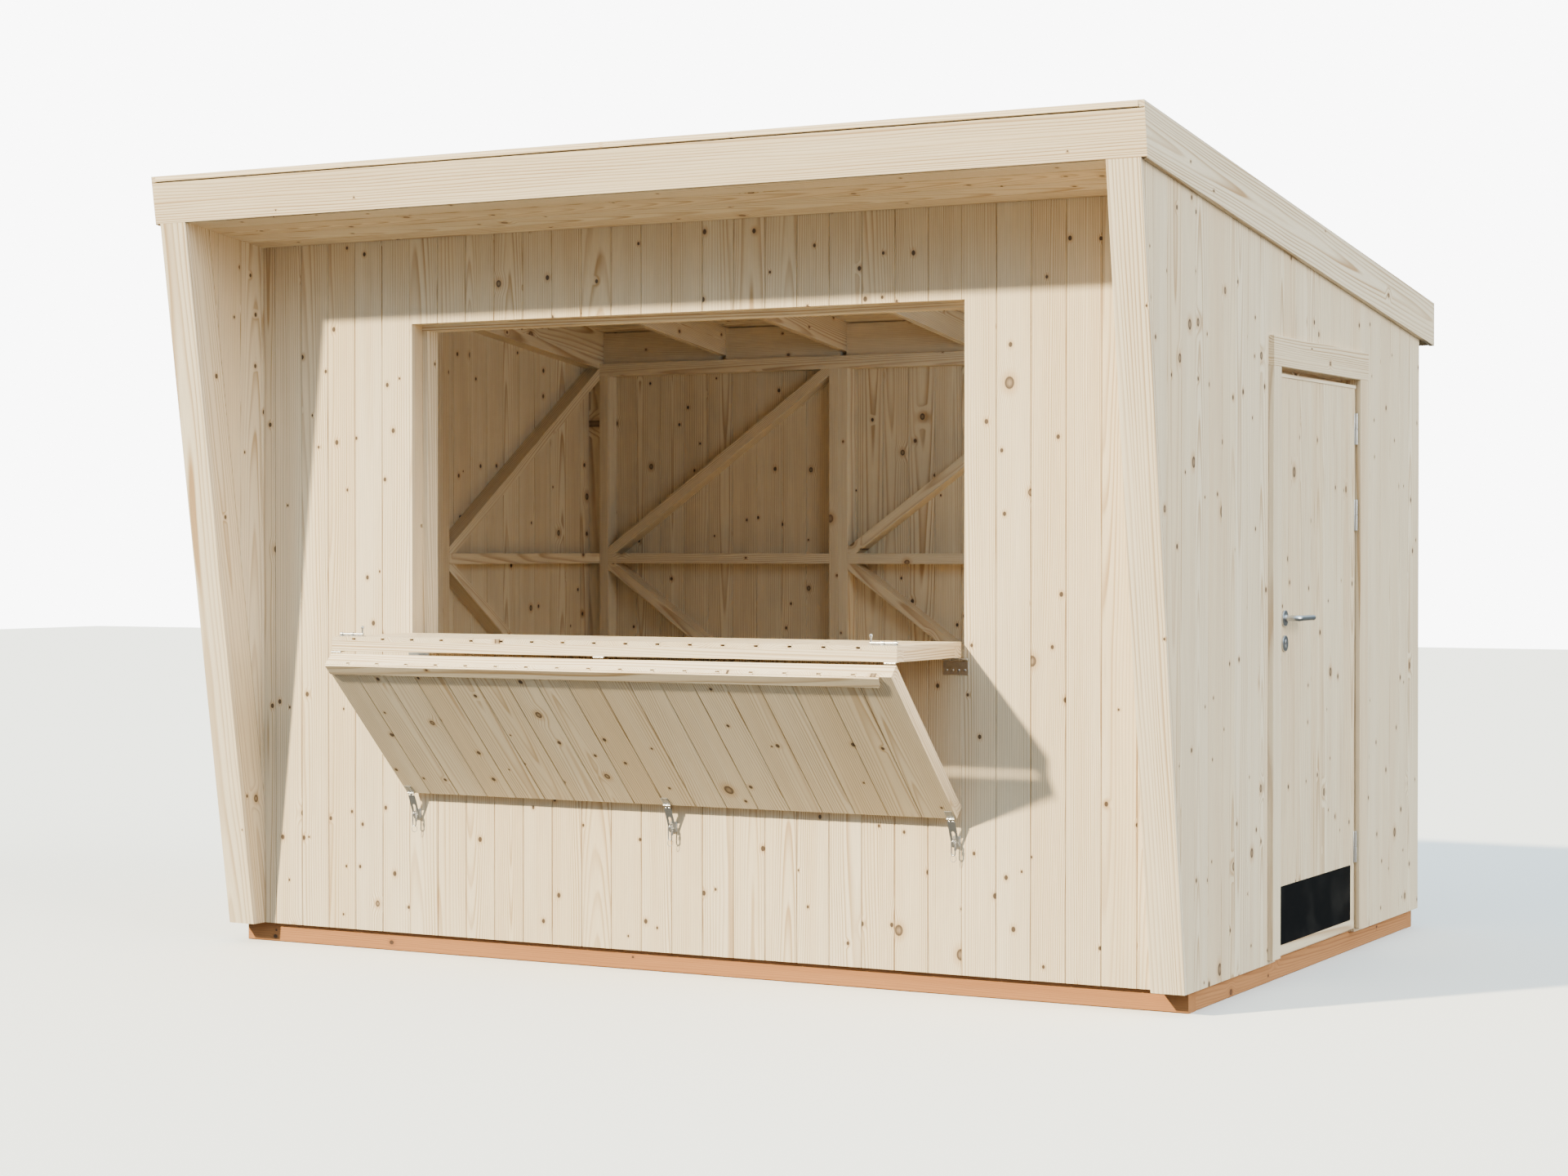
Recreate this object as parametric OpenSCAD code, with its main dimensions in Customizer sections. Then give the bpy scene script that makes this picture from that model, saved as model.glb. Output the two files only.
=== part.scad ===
// Wooden market stall: a boarded hut with a roof that falls to the rear, a deep front recess
// between two slanted side walls, a serving hatch that folds down into a counter and its
// strut, and a ledged door in the right side wall.
// X runs right along the front, Y runs to the rear, Z is up. The origin is on the ground
// under the middle of the floor.

/* [Overall] */
// Width over the side walls
stall_w = 3406; // [2906:2:4206]
// Depth from the front wall's face to the rear wall's face
stall_d = 2236; // [1836:2:2836]
// Height of the roof's upper face above the front wall
roof_z = 2479; // [2350:1:2900]
// Fall of the roof to the rear, in degrees
roof_pitch = 7; // [4:0.5:10]
// Overhang of the roof behind the rear wall
rear_overhang = 124; // [60:1:200]
// How far the side walls stand out in front at their foot
fin_foot = 59; // [45:1:150]
// How far the side walls stand out in front at the height of the soffit
fin_head = 403; // [300:1:600]

/* [Timber] */
// Thickness of wall, roof and soffit boards and of plain trim boards
board_t = 18; // [15:1:24]
// Depth of the wall frames behind the boards
frame_t = 67; // [44:1:95]
// Face width of studs, plates and braces
stud_w = 40; // [30:1:60]
// Height of the treated beams that the stall stands on
base_h = 64; // [45:1:100]
// Width of the treated beams
base_w = 60; // [50:1:90]
// Number of treated cross beams under the floor
joist_count = 7; // [5:2:9]
// Height of a rafter
rafter_h = 110; // [80:1:150]
// Width of a rafter
rafter_w = 28; // [24:1:60]
// Number of rafters between the side walls
rafter_count = 5; // [3:2:7]
// How far the side and rear fascia boards reach under the front one
fascia_reach = 2; // [0:1:40]
// Panels that the rear wall's frame is divided into
rear_panels = 3; // [2:1:4]
// Distance of the joint between a side wall's two panels from the front wall's face
side_joint = 1066; // [900:1:1200]
// Height of the rails that run round the inside of the walls
noggin_z = 1265; // [1150:1:1400]

/* [Hatch] */
// Width of the serving opening
hatch_w = 1984; // [1600:2:2300]
// Height of the opening's lower edge
sill_z = 994; // [850:1:1050]
// Height of the opening's upper edge
head_z = 2055; // [2000:1:2100]
// Depth of the counter leaf
counter_d = 428; // [380:1:470]
// Thickness of the boards on both hatch leaves
leaf_board_t = 14; // [12:1:18]
// Depth of the frame under those boards
leaf_frame_t = 32; // [28:1:40]
// Width of the frame bars of both leaves
leaf_bar_w = 44; // [35:1:60]
// Room between a leaf and what is beside it
leaf_gap = 6; // [5:1:10]
// Distance between the two leaves, which the fold hinges bridge
fold_gap = 8; // [8:1:14]
// Room between the closed leaves and the stop battens behind them
stop_gap = 12; // [12:1:18]
// How far the stop battens stand into the opening
stop_w = 20; // [14:1:30]
// Depth of the posts beside the opening
hatch_post_t = 99; // [90:1:120]
// Height of the cover batten along the top of the strut leaf
cover_w = 40; // [30:1:60]

/* [Door] */
// Distance of the doorway's front side from the front wall's face
door_y = 713; // [600:1:800]
// Clear width of the doorway
door_w = 794; // [650:1:850]
// Height of the doorway's upper edge
door_head_z = 1875; // [1800:1:1920]
// Width of the side casings
casing_w = 70; // [50:1:90]
// Width of the casing over the door
casing_head_w = 92; // [60:1:110]
// Room between the leaf and the jambs
door_gap = 7; // [6:1:9]
// Height of the leaf's lower edge
door_foot_z = 76; // [72:1:80]
// Room above the leaf
door_top_gap = 18; // [8:1:25]
// Thickness of the door's inner frame
door_frame_t = 26; // [20:1:34]
// Height of the door's black kick panel
kick_h = 180; // [120:1:260]
// Distance of the kick panel from the door's edges
kick_margin = 41; // [10:1:100]
// Height of the door handle
handle_z = 1109; // [1000:1:1150]
// Distance of the key rosette below the handle
rosette_drop = 77; // [65:1:90]
// Distance of the handle from the leaf's edge
backset = 70; // [60:1:80]
// Length of the lever
lever_l = 140; // [100:1:150]

/* [Ironwork] */
// Length of a door hinge
door_hinge_h = 102; // [80:1:120]
// Outer diameter of the door hinges' knuckles
door_knuckle_d = 10; // [8:1:12]
// Width of a hinge plate under the counter
counter_hinge_w = 82; // [60:1:100]
// Width of a small fold hinge
fold_hinge_w = 36; // [30:1:50]
// Width of a hasp
hasp_w = 26; // [20:1:34]
// Length of a hasp's slotted strap
hasp_strap_l = 94; // [90:1:100]
// Thickness of hinge and hasp plates
plate_t = 2; // [1.5:0.5:3]
// Diameter of a barrel bolt's rod
bolt_d = 7; // [5:1:8]
// Travel of a barrel bolt
bolt_travel = 26; // [20:1:30]

/* [Hidden] */

$fn = 48;
// A length or size that only has to reach past what it cuts
beyond = 6000;
// Clearance of a rod in its bore and between two knuckles
pin_fit = 0.5;
// Clearance between pieces that meet on a sloped face
seam = 0.03;
// Rear plate: drop of its upper edge under the rafters and its height
back_plate_drop = 22;
back_plate_h = 50;
// Counter leaf: distance of its hinge pins in front of the wall and over the sill
counter_pin_out = 6;
counter_pin_up = 2;
counter_pin_d = 8;
// Plates of the counter's hinges: drop of their upper edge under the sill and their height
counter_plate_drop = 4;
counter_plate_h = 40;
// How far a counter hinge stands out past the leaf's middle place for it
counter_hinge_out = 20;
// Fold hinges: pin, and how far the leaf on the counter's underside reaches
fold_pin_d = 6;
fold_leaf_l = 18;
// Margin of the fold hinges from the leaf's ends
fold_margin = 2;
// Barrel bolts: rod's height over the boards, its distance from the leaf's front edge and end
bolt_lift = 7;
bolt_inset = 30;
bolt_end_inset = 10;
bolt_rod_l = 90;
// Their guides: width, height and distances from the rod's end
guide_w = 8;
guide_h = 16;
guide_wall = 2;
guide_at = [8, 48];
// Their plates and knobs
barrel_l = 90;
barrel_h = 28;
barrel_t = 1.5;
knob_l = 20;
knob_d = 10;
// Hasps: pin, margin from the leaf's ends, length of the plate and clearance round the pin
hasp_pin_d = 7;
hasp_margin = 5;
hasp_plate_l = 32;
hasp_clear = 3;
// Staples: wire, half their height, how far they stand out, and their plates
staple_wire = 4;
staple_half_h = 8;
staple_reach = 30;
staple_plate_w = 24;
staple_plate_h = 32;
staple_plate_t = 1.5;
// Extra width of the casing on the door's hinge side
casing_extra = 13;
// Extra width of the door's stiles
stile_extra = 30;
// How far the strip over the door's boards stands proud
strip_proud = 3;
// Places of the door's hinges: the low one over its foot, the others under its top
hinge_low = 218;
hinge_mid = 476;
hinge_top = 194;
hinge_leaf_w = 8;
// Roses and the lever
rose_t = 7;
rose_d = 50;
spindle_d = 20;
lever_reach = 48;
lever_d = 18;
// Margins of the cover batten: beside the leaf's left end, right end and upper edge
cover_left = 2;
cover_right = 38;
cover_top = 1;
cover_t = 6;

// Planes of the walls
wall_z = base_h;
floor_z = base_h + board_t;
half_w = stall_w / 2;
front_y = -stall_d / 2;
rear_y = stall_d / 2;
frame_x = half_w - board_t;
room_x = frame_x - frame_t;
lining_x = room_x - board_t;
frame_front_y = front_y + board_t;
room_front_y = frame_front_y + frame_t;
frame_rear_y = rear_y - board_t;
room_rear_y = frame_rear_y - frame_t;

// Roof: heights are measured down from its upper face
fall = tan(roof_pitch);
rafter_top = board_t + seam;
rafter_foot = rafter_top + rafter_h;
soffit_foot = rafter_foot + board_t;
rear_edge_y = rear_y + rear_overhang;
soffit_z = roof_z - soffit_foot / cos(roof_pitch);
lean = (fin_head - fin_foot) / (soffit_z + fall * fin_head - wall_z);
lean_angle = atan(lean);

function roof_at(y, drop) = roof_z - (y - front_y) * fall - drop / cos(roof_pitch);
function fin_y(z, inset) = front_y - fin_foot - (z - wall_z) * lean + inset / cos(lean_angle);

// Where a line set back by inset from the slanted front meets the roof's level drop
function fin_top_z(drop, inset) =
  (roof_z - drop / cos(roof_pitch) + fall * (fin_foot - wall_z * lean - inset / cos(lean_angle)))
  / (1 - fall * lean);
function fin_top(drop, inset) =
  let (z = fin_top_z(drop, inset)) [fin_y(z, inset), z];
back_plate_z = roof_at(room_rear_y, rafter_foot) - back_plate_drop;
rafter_pitch = 2 * lining_x / (rafter_count + 1);
fascia_lap = 2;
// Height of the side and rear fascias
fascia_h = soffit_foot + fascia_lap + fascia_reach - seam;

// Hatch: the leaves are drawn closed in the opening and laid down into their resting place
leaf_t = leaf_board_t + leaf_frame_t;
leaf_w = hatch_w - 2 * leaf_gap;
counter_axis = [front_y - counter_pin_out, sill_z + counter_pin_up];
counter_foot = 3;
fold_axis_drop = 3;
strut_l = head_z - leaf_gap - 1 - (counter_axis[1] + counter_foot + counter_d + fold_gap);
fold_axis = [front_y - fold_axis_drop, counter_axis[1] + counter_foot + counter_d + fold_gap / 2];
open_fold_axis = [
  counter_axis[0] - (fold_axis[1] - counter_axis[1]),
  counter_axis[1] + fold_axis[0] - counter_axis[0]
];
strut_reach = strut_l + fold_gap / 2;
// The strut leaf leans back until its inner corner is leaf_gap off the wall
strut_angle = acos((front_y - leaf_gap - open_fold_axis[0]) / norm([strut_reach, fold_axis_drop]))
  - atan(fold_axis_drop / strut_reach);
stop_y = front_y + leaf_t + stop_gap;

// Where a point of the Y-Z plane comes to when it turns about an axis
function turned(p, axis, angle) = let (d = p - axis)
  axis + [d[0] * cos(angle) - d[1] * sin(angle), d[0] * sin(angle) + d[1] * cos(angle)];

// Barrel bolts: rods beside the boards' upper face, near the counter's front corners
counter_z0 = counter_axis[1] + counter_foot;
counter_z1 = counter_z0 + counter_d;
strut_z0 = fold_axis[1] + fold_gap / 2;
strut_z1 = strut_z0 + strut_l;
leaf_inner_y = front_y + leaf_frame_t;
leaf_back_y = front_y + leaf_t;
bolt_y = leaf_back_y + bolt_lift;
bolt_z = counter_z1 - bolt_inset;
bolt_end_x = leaf_w / 2 - bolt_end_inset;

// Hasps on the strut leaf's lower edge: the strap leans in until its tip is leaf_gap off the wall
hasp_x = leaf_w / 2 - hasp_w / 2 - hasp_margin;
hasp_xs = [-hasp_x, 0, hasp_x];
hasp_axis = [front_y + leaf_t + plate_t + 2, fold_axis[1] + strut_reach - 2];
open_hasp_axis = turned(turned(hasp_axis, fold_axis, 180 - strut_angle), counter_axis, 90);
strap_lean = asin((front_y - leaf_gap - open_hasp_axis[0]) / hasp_strap_l);
strap_fold = 90 + strut_angle + strap_lean;
strap_slot = [40, 86];
slot_w = 10;
staple_at = 74;
staple_z = open_hasp_axis[1] - staple_at * cos(strap_lean);

// Door
door_y0 = front_y + door_y;
door_y1 = door_y0 + door_w;
door_leaf_y0 = door_y0 + door_gap;
door_leaf_y1 = door_y1 - door_gap;
door_top_z = door_head_z - door_top_gap;
door_axis = [half_w + door_knuckle_d / 2, door_leaf_y1 - 1];
handle_y = door_leaf_y0 + backset;
door_in_x = half_w - board_t - door_frame_t;
door_stop_w = 16;
door_rail_h = 32;
door_strip_h = 11;
// Width of the stiles and ledges behind the door's boards
ledge_w = 95;
hinge_zs = [door_foot_z + hinge_low, door_top_z - hinge_mid, door_top_z - hinge_top];

module extrude_x(x0, x1) translate([x0, 0, 0]) rotate([90, 0, 90]) linear_extrude(x1 - x0) children();
module box(low, high) translate(low) cube(high - low);
module mirrored() { children(); mirror([1, 0, 0]) children(); }
// Frame whose Z runs up the slanted front edge and whose Y runs into the wall behind it
module on_front() translate([0, fin_y(wall_z, 0), wall_z]) rotate([lean_angle, 0, 0]) children();

// ---- Base and floor ----
module base_frame() color("peru") {
  x = frame_x;
  y = rear_y - board_t;
  difference() {
    box([-x, -y, 0], [x, y, base_h]);
    box([-x + base_w, -y + base_w, -1], [x - base_w, y - base_w, base_h + 1]);
  }
  pitch = 2 * (x - base_w) / (joist_count + 1);
  for (i = [1 : joist_count])
    let (jx = -x + base_w + i * pitch)
      box([jx - base_w / 2, -y + base_w, 0], [jx + base_w / 2, y - base_w, base_h]);
}
module floor_boards() color("burlywood") difference() {
  box([-frame_x, frame_front_y, base_h], [frame_x, frame_rear_y, floor_z]);
  // Room behind the closed door
  box([frame_x - leaf_gap, door_y0, base_h - 1], [frame_x + 1, door_y1, floor_z + 1]);
}

// ---- Front wall ----
module front_boards(x0, x1, z0, z1) color("wheat")
  intersection() {
    box([x0, front_y, z0], [x1, frame_front_y, z1]);
    extrude_x(x0, x1) polygon([[front_y, wall_z], [frame_front_y, wall_z],
      [frame_front_y, roof_at(frame_front_y, soffit_foot)], [front_y, roof_at(front_y, soffit_foot)]]);
  }
module front_wall_left() front_boards(-lining_x, -hatch_w / 2, wall_z, roof_z);
module front_wall_right() front_boards(hatch_w / 2, lining_x, wall_z, roof_z);
module front_wall_below() front_boards(-hatch_w / 2, hatch_w / 2, wall_z, sill_z);
module front_wall_above() front_boards(-hatch_w / 2, hatch_w / 2, head_z, roof_z);

// Studs and plates behind the boards beside, below and above the hatch
module under_rafters(x0, x1, y1) intersection() {
  children();
  extrude_x(x0, x1) polygon([[front_y, 0], [y1, 0],
    [y1, roof_at(y1, rafter_foot + seam)], [front_y, roof_at(front_y, rafter_foot + seam)]]);
}
module front_frame() color("tan") {
  post_x = hatch_w / 2 + stud_w;
  top = roof_at(room_front_y, rafter_foot);
  y0 = frame_front_y;
  y1 = room_front_y;
  under_rafters(-room_x, room_x, y1) {
    union() {
      mirrored() {
        box([lining_x - stud_w, y0, floor_z], [lining_x, y1, roof_z]);
        box([post_x, y0, floor_z], [lining_x - stud_w, y1, floor_z + stud_w]);
        box([post_x, y0, top - stud_w], [lining_x - stud_w, y1, roof_z]);
        box([post_x, y0, noggin_z], [lining_x - stud_w, y1, noggin_z + stud_w]);
      }
      box([-hatch_w / 2, y0, floor_z], [hatch_w / 2, y1, floor_z + stud_w]);
      box([-stud_w / 2, y0, floor_z + stud_w], [stud_w / 2, y1, sill_z - stud_w]);
      box([-hatch_w / 2, y0, top - stud_w], [hatch_w / 2, y1, roof_z]);
      for (x = [-hatch_w / 4, hatch_w / 4])
        box([x - stud_w / 2, y0, head_z + stud_w], [x + stud_w / 2, y1, top - stud_w]);
    }
  }
}
module hatch_posts() color("tan") {
  x = hatch_w / 2;
  y1 = frame_front_y + hatch_post_t;
  difference() {
    under_rafters(-room_x, room_x, y1) mirrored()
      box([x, frame_front_y, floor_z], [x + stud_w, y1, roof_z]);
    for (side = [-1, 1])
      translate([side * (x - 1), bolt_y, bolt_z]) rotate([0, side * 90, 0])
        cylinder(h = bolt_travel, d = bolt_d + 4 * pin_fit);
  }
  box([-x, frame_front_y, head_z], [x, y1, head_z + stud_w]);
  box([-x, frame_front_y, sill_z - stud_w], [x, y1, sill_z]);
}
// Battens that the closed leaves stop against
module hatch_stops() color("wheat") {
  x = hatch_w / 2;
  y1 = frame_front_y + hatch_post_t;
  mirrored() box([x - stop_w, stop_y, sill_z], [x, y1, head_z - stop_w]);
  box([-x, stop_y, head_z - stop_w], [x, y1, head_z]);
}

// ---- Side walls ----
module side_profile(inset) polygon([
  [fin_y(wall_z, inset), wall_z], [rear_y, wall_z], [rear_y, roof_at(rear_y, rafter_top)],
  fin_top(rafter_top, inset)]);
module side_boards(x0, y0, y1, z0, z1) color("wheat") intersection() {
  extrude_x(x0, x0 + board_t) side_profile(board_t + seam);
  box([x0, y0, z0], [x0 + board_t, y1, z1]);
}
module left_wall() side_boards(-half_w, -beyond, beyond, 0, beyond);
module right_wall_front() side_boards(frame_x, -beyond, door_y0, 0, beyond);
module right_wall_rear() side_boards(frame_x, door_y1, beyond, 0, beyond);
module right_wall_over_door() side_boards(frame_x, door_y0, door_y1, door_head_z, beyond);

// Boards on the inner faces of the recess, in front of the front wall
module fin_linings() color("wheat") mirrored() extrude_x(lining_x, room_x) polygon([
  [fin_y(wall_z, board_t + seam), wall_z], [frame_front_y, wall_z],
  [frame_front_y, roof_at(frame_front_y, rafter_foot)], fin_top(rafter_foot, board_t + seam)]);
// Plain boards on the slanted front edges
module fin_trims() color("wheat") mirrored() extrude_x(lining_x, half_w) polygon([
  [fin_y(wall_z, 0), wall_z], [fin_y(wall_z, board_t), wall_z],
  fin_top(soffit_foot + fascia_lap, board_t), fin_top(soffit_foot + fascia_lap, 0)]);

// One diagonal bar through a and b, long enough to be cut to its panel
module brace_2d(a, b)
  let (run = (b - a) / norm(b - a), side = [-run[1], run[0]] * stud_w / 2, past = run * stud_w)
    polygon([a - past - side, b + past - side, b + past + side, a - past + side]);
// Rail and braces of one panel under a level or sloped head: the braces meet at the rail's near end
module panel_2d(y0, y1, top0, top1) {
  rise = top1 - noggin_z - stud_w;
  translate([y0, noggin_z]) square([y1 - y0, stud_w]);
  intersection() {
    polygon([[y0, floor_z], [y1, floor_z], [y1, top1], [y0, top0]]);
    union() {
      brace_2d([y0, noggin_z + stud_w], [y1, noggin_z + stud_w + rise]);
      brace_2d([y0, noggin_z], [y1, noggin_z - rise]);
    }
  }
}
module side_frame_2d(braced) {
  joint = front_y + side_joint;
  bays = [[room_front_y, joint - stud_w], [joint + stud_w, frame_rear_y - stud_w]];
  foot = floor_z + stud_w;
  head = rafter_foot + stud_w;
  difference() {
    polygon([[fin_y(floor_z, board_t + seam), floor_z], [frame_rear_y, floor_z],
      [frame_rear_y, roof_at(frame_rear_y, rafter_top)], fin_top(rafter_top, board_t + seam)]);
    // Bays between the studs, with their sloped heads
    polygon([[fin_y(foot, board_t + stud_w), foot], [frame_front_y, foot],
      [frame_front_y, roof_at(frame_front_y, head)], fin_top(head, board_t + stud_w)]);
    for (bay = bays)
      polygon([[bay[0], foot], [bay[1], foot], [bay[1], roof_at(bay[1], head)], [bay[0], roof_at(bay[0], head)]]);
  }
  if (braced) for (bay = bays) panel_2d(bay[0], bay[1], roof_at(bay[0], head), roof_at(bay[1], head));
}
module left_frame() color("tan") extrude_x(-frame_x, -room_x) side_frame_2d(true);
module right_frame() color("tan") extrude_x(room_x, frame_x) difference() {
  head = door_head_z + board_t;
  union() {
    side_frame_2d(false);
    for (y = [door_y0 - board_t - stud_w, door_y1 + board_t])
      translate([y, floor_z]) square([stud_w, head - floor_z]);
    translate([room_front_y, head]) square([frame_rear_y - room_front_y, stud_w]);
  }
  translate([door_y0 - board_t, 0]) square([door_w + 2 * board_t, door_head_z + board_t]);
}

// ---- Rear wall ----
module back_wall() color("wheat") extrude_x(-frame_x, frame_x) polygon([
  [frame_rear_y, wall_z], [rear_y, wall_z],
  [rear_y, roof_at(rear_y, rafter_foot + seam)], [frame_rear_y, roof_at(frame_rear_y, rafter_foot + seam)]]);
module back_frame() color("tan") {
  pitch = 2 * room_x / rear_panels;
  difference() {
    box([-room_x, room_rear_y, floor_z], [room_x, frame_rear_y, back_plate_z]);
    for (i = [0 : rear_panels - 1])
      let (x = -room_x + i * pitch)
        box([x + stud_w, room_rear_y - 1, floor_z + stud_w],
          [x + pitch - stud_w, frame_rear_y + 1, back_plate_z - back_plate_h]);
  }
  for (i = [0 : rear_panels - 1])
    let (x = -room_x + i * pitch)
      translate([0, frame_rear_y, 0]) rotate([90, 0, 0]) linear_extrude(frame_t)
        let (top = back_plate_z - back_plate_h) panel_2d(x + stud_w, x + pitch - stud_w, top, top);
  // Blocking that closes the gaps between the rafters, set back from the plate
  difference() {
    extrude_x(-room_x, room_x) polygon([
      [frame_rear_y - 2 * board_t, back_plate_z], [frame_rear_y, back_plate_z],
      [frame_rear_y, roof_at(frame_rear_y, rafter_top)],
      [frame_rear_y - 2 * board_t, roof_at(frame_rear_y - 2 * board_t, rafter_top)]]);
    rafters();
  }
}

// ---- Roof ----
module roof_band_2d(y1, top, foot, inset) polygon([
  fin_top(foot, inset), [y1, roof_at(y1, foot)], [y1, roof_at(y1, top)], fin_top(top, inset)]);
module rafters() color("tan") for (i = [1 : rafter_count])
  let (x = -lining_x + i * rafter_pitch)
    extrude_x(x - rafter_w / 2, x + rafter_w / 2)
      roof_band_2d(rear_edge_y - board_t, rafter_top, rafter_foot, board_t + seam);
module roof_boards() color("wheat")
  extrude_x(-half_w, half_w) roof_band_2d(rear_edge_y, 0, board_t, 0);
module soffit_boards() color("wheat") extrude_x(-lining_x, lining_x) polygon([
  fin_top(soffit_foot, board_t + seam), [front_y, roof_at(front_y, soffit_foot)],
  [front_y, roof_at(front_y, rafter_foot + seam)], fin_top(rafter_foot + seam, board_t + seam)]);
// What lies inside or outside the 45 degree joint between the front and side fascias
module mitre_side(outside) on_front()
  translate([half_w + board_t, 0, 0]) rotate([0, 0, 45])
    translate([outside ? 0 : seam - beyond, -beyond / 2, -beyond]) cube([beyond, beyond, 3 * beyond]);
module front_fascia() color("wheat") difference() {
  extrude_x(-half_w - board_t, half_w + board_t) polygon([
    fin_top(soffit_foot + fascia_lap, 0), fin_top(soffit_foot + fascia_lap, board_t),
    fin_top(rafter_top, board_t), fin_top(rafter_top, 0)]);
  mirrored() mitre_side(true);
}
module right_fascia() color("wheat") difference() {
  extrude_x(half_w, half_w + board_t) roof_band_2d(rear_edge_y, 0, fascia_h, 0);
  intersection() {
    mitre_side(false);
    extrude_x(half_w - 1, half_w + board_t + 1) polygon([
      [-beyond, -beyond], [beyond, -beyond],
      [beyond, roof_at(beyond, rafter_top)], [-beyond, roof_at(-beyond, rafter_top)]]);
  }
}
module left_fascia() mirror([1, 0, 0]) right_fascia();
module back_fascia() color("wheat") extrude_x(-half_w, half_w) polygon([
  [rear_edge_y - board_t, roof_at(rear_edge_y - board_t, fascia_h)],
  [rear_edge_y, roof_at(rear_edge_y - board_t, fascia_h)],
  [rear_edge_y, roof_at(rear_edge_y, rafter_top)],
  [rear_edge_y - board_t, roof_at(rear_edge_y - board_t, rafter_top)]]);

// ---- Doorway and door ----
// Lining of the doorway with the stops that the closed leaf meets
module door_jambs() color("wheat") {
  difference() {
    box([room_x, door_y0 - board_t, floor_z], [frame_x, door_y1 + board_t, door_head_z + board_t]);
    box([room_x - 1, door_y0, 0], [frame_x + 1, door_y1, door_head_z]);
  }
  stop_x = door_in_x - leaf_gap;
  difference() {
    box([room_x, door_y0, floor_z], [stop_x, door_y1, door_head_z]);
    box([room_x - 1, door_y0 + door_stop_w, 0],
      [stop_x + 1, door_y1 - door_stop_w, door_top_z - door_stop_w]);
  }
}
module door_casing() color("wheat") difference() {
  box([half_w, door_y0 - casing_w, door_foot_z], [half_w + board_t, door_y1 + casing_w + casing_extra,
    door_head_z + casing_head_w]);
  box([half_w - 1, door_y0, 0], [half_w + board_t + 1, door_y1, door_head_z]);
}
module door_boards() color("wheat") difference() {
  box([frame_x, door_leaf_y0, door_foot_z + door_rail_h], [half_w, door_leaf_y1, door_top_z - door_strip_h]);
  spindle_hole();
}
// Stiles and ledges behind the door's boards
module door_ledges() color("tan") difference() {
  stile_w = ledge_w + stile_extra;
  z0 = floor_z + leaf_gap;
  mid = (z0 + door_top_z) / 2;
  box([door_in_x, door_leaf_y0, z0], [frame_x, door_leaf_y1, door_top_z]);
  for (z = [[z0 + ledge_w, mid - ledge_w / 2], [mid + ledge_w / 2, door_top_z - ledge_w]])
    box([door_in_x - 1, door_leaf_y0 + stile_w, z[0]], [frame_x + 1, door_leaf_y1 - stile_w, z[1]]);
  spindle_hole();
}
// The strip over the boards and the rail under them
module door_rails() color("wheat") {
  box([frame_x, door_leaf_y0, door_top_z - door_strip_h], [half_w + strip_proud, door_leaf_y1, door_top_z]);
  box([frame_x, door_leaf_y0, door_foot_z], [half_w, door_leaf_y1, door_foot_z + door_rail_h]);
}
module kick_panel() color("#202020")
  let (z = door_foot_z + door_rail_h)
    box([half_w, door_leaf_y0 + kick_margin, z], [half_w + plate_t, door_leaf_y1 - kick_margin, z + kick_h]);
module spindle_hole()
  translate([half_w - 100, handle_y, handle_z]) rotate([0, 90, 0]) cylinder(h = 200, d = spindle_d);
module door_hinges() color("silver") for (z = hinge_zs) {
  translate([door_axis[0], door_axis[1], z]) cylinder(h = door_hinge_h, d = door_knuckle_d);
  box([half_w, door_axis[1] - hinge_leaf_w, z], [half_w + plate_t, door_axis[1], z + door_hinge_h]);
}
// A ring round the lever's neck and a disc for the key on both faces
module door_roses() color("silver") for (x = [half_w, door_in_x - rose_t]) {
  translate([x, handle_y, handle_z]) rotate([0, 90, 0]) difference() {
    cylinder(h = rose_t, d = rose_d);
    translate([0, 0, -1]) cylinder(h = rose_t + 2, d = spindle_d);
  }
  translate([x, handle_y, handle_z - rosette_drop]) rotate([0, 90, 0]) cylinder(h = rose_t, d = rose_d);
}
module door_lever() color("silver") translate([0, handle_y, handle_z]) {
  straight = lever_l - lever_d / 2;
  translate([door_in_x - lever_reach, 0, 0]) rotate([0, 90, 0])
    cylinder(h = half_w - door_in_x + 2 * lever_reach, d = lever_d);
  for (x = [door_in_x - lever_reach, half_w + lever_reach]) {
    translate([x, 0, 0]) rotate([-90, 0, 0]) cylinder(h = straight, d = lever_d);
    translate([x, 0, 0]) sphere(d = lever_d);
    translate([x, straight, 0]) sphere(d = lever_d);
  }
}

// ---- Hatch leaves ----
// The counter leaf turns from closed to its resting place, and the strut leaf turns on it
module turn_x(axis, angle)
  translate([0, axis[0], axis[1]]) rotate([angle, 0, 0]) translate([0, -axis[0], -axis[1]]) children();
module counter_place() turn_x(counter_axis, 90) children();
module strut_place() counter_place() turn_x(fold_axis, 180 - strut_angle) children();
module strap_place() strut_place() turn_x(hasp_axis, strap_fold) children();

module leaf_frame(z0, z1, bars) {
  x = leaf_w / 2;
  bay = (leaf_w - leaf_bar_w) / bars;
  difference() {
    box([-x, front_y, z0], [x, leaf_inner_y, z1]);
    for (i = [0 : bars - 1])
      box([-x + leaf_bar_w + i * bay, front_y - 1, z0 + leaf_bar_w],
        [-x + (i + 1) * bay, leaf_inner_y + 1, z1 - leaf_bar_w]);
  }
}
module counter_frame() color("wheat") counter_place() leaf_frame(counter_z0, counter_z1, 3);
module counter_boards() color("wheat") counter_place()
  box([-leaf_w / 2, leaf_inner_y, counter_z0], [leaf_w / 2, leaf_back_y, counter_z1]);
module strut_frame() color("wheat") strut_place() leaf_frame(strut_z0, strut_z1, 3);
module strut_boards() color("wheat") strut_place()
  box([-leaf_w / 2, leaf_inner_y, strut_z0], [leaf_w / 2, leaf_back_y, strut_z1]);
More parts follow.
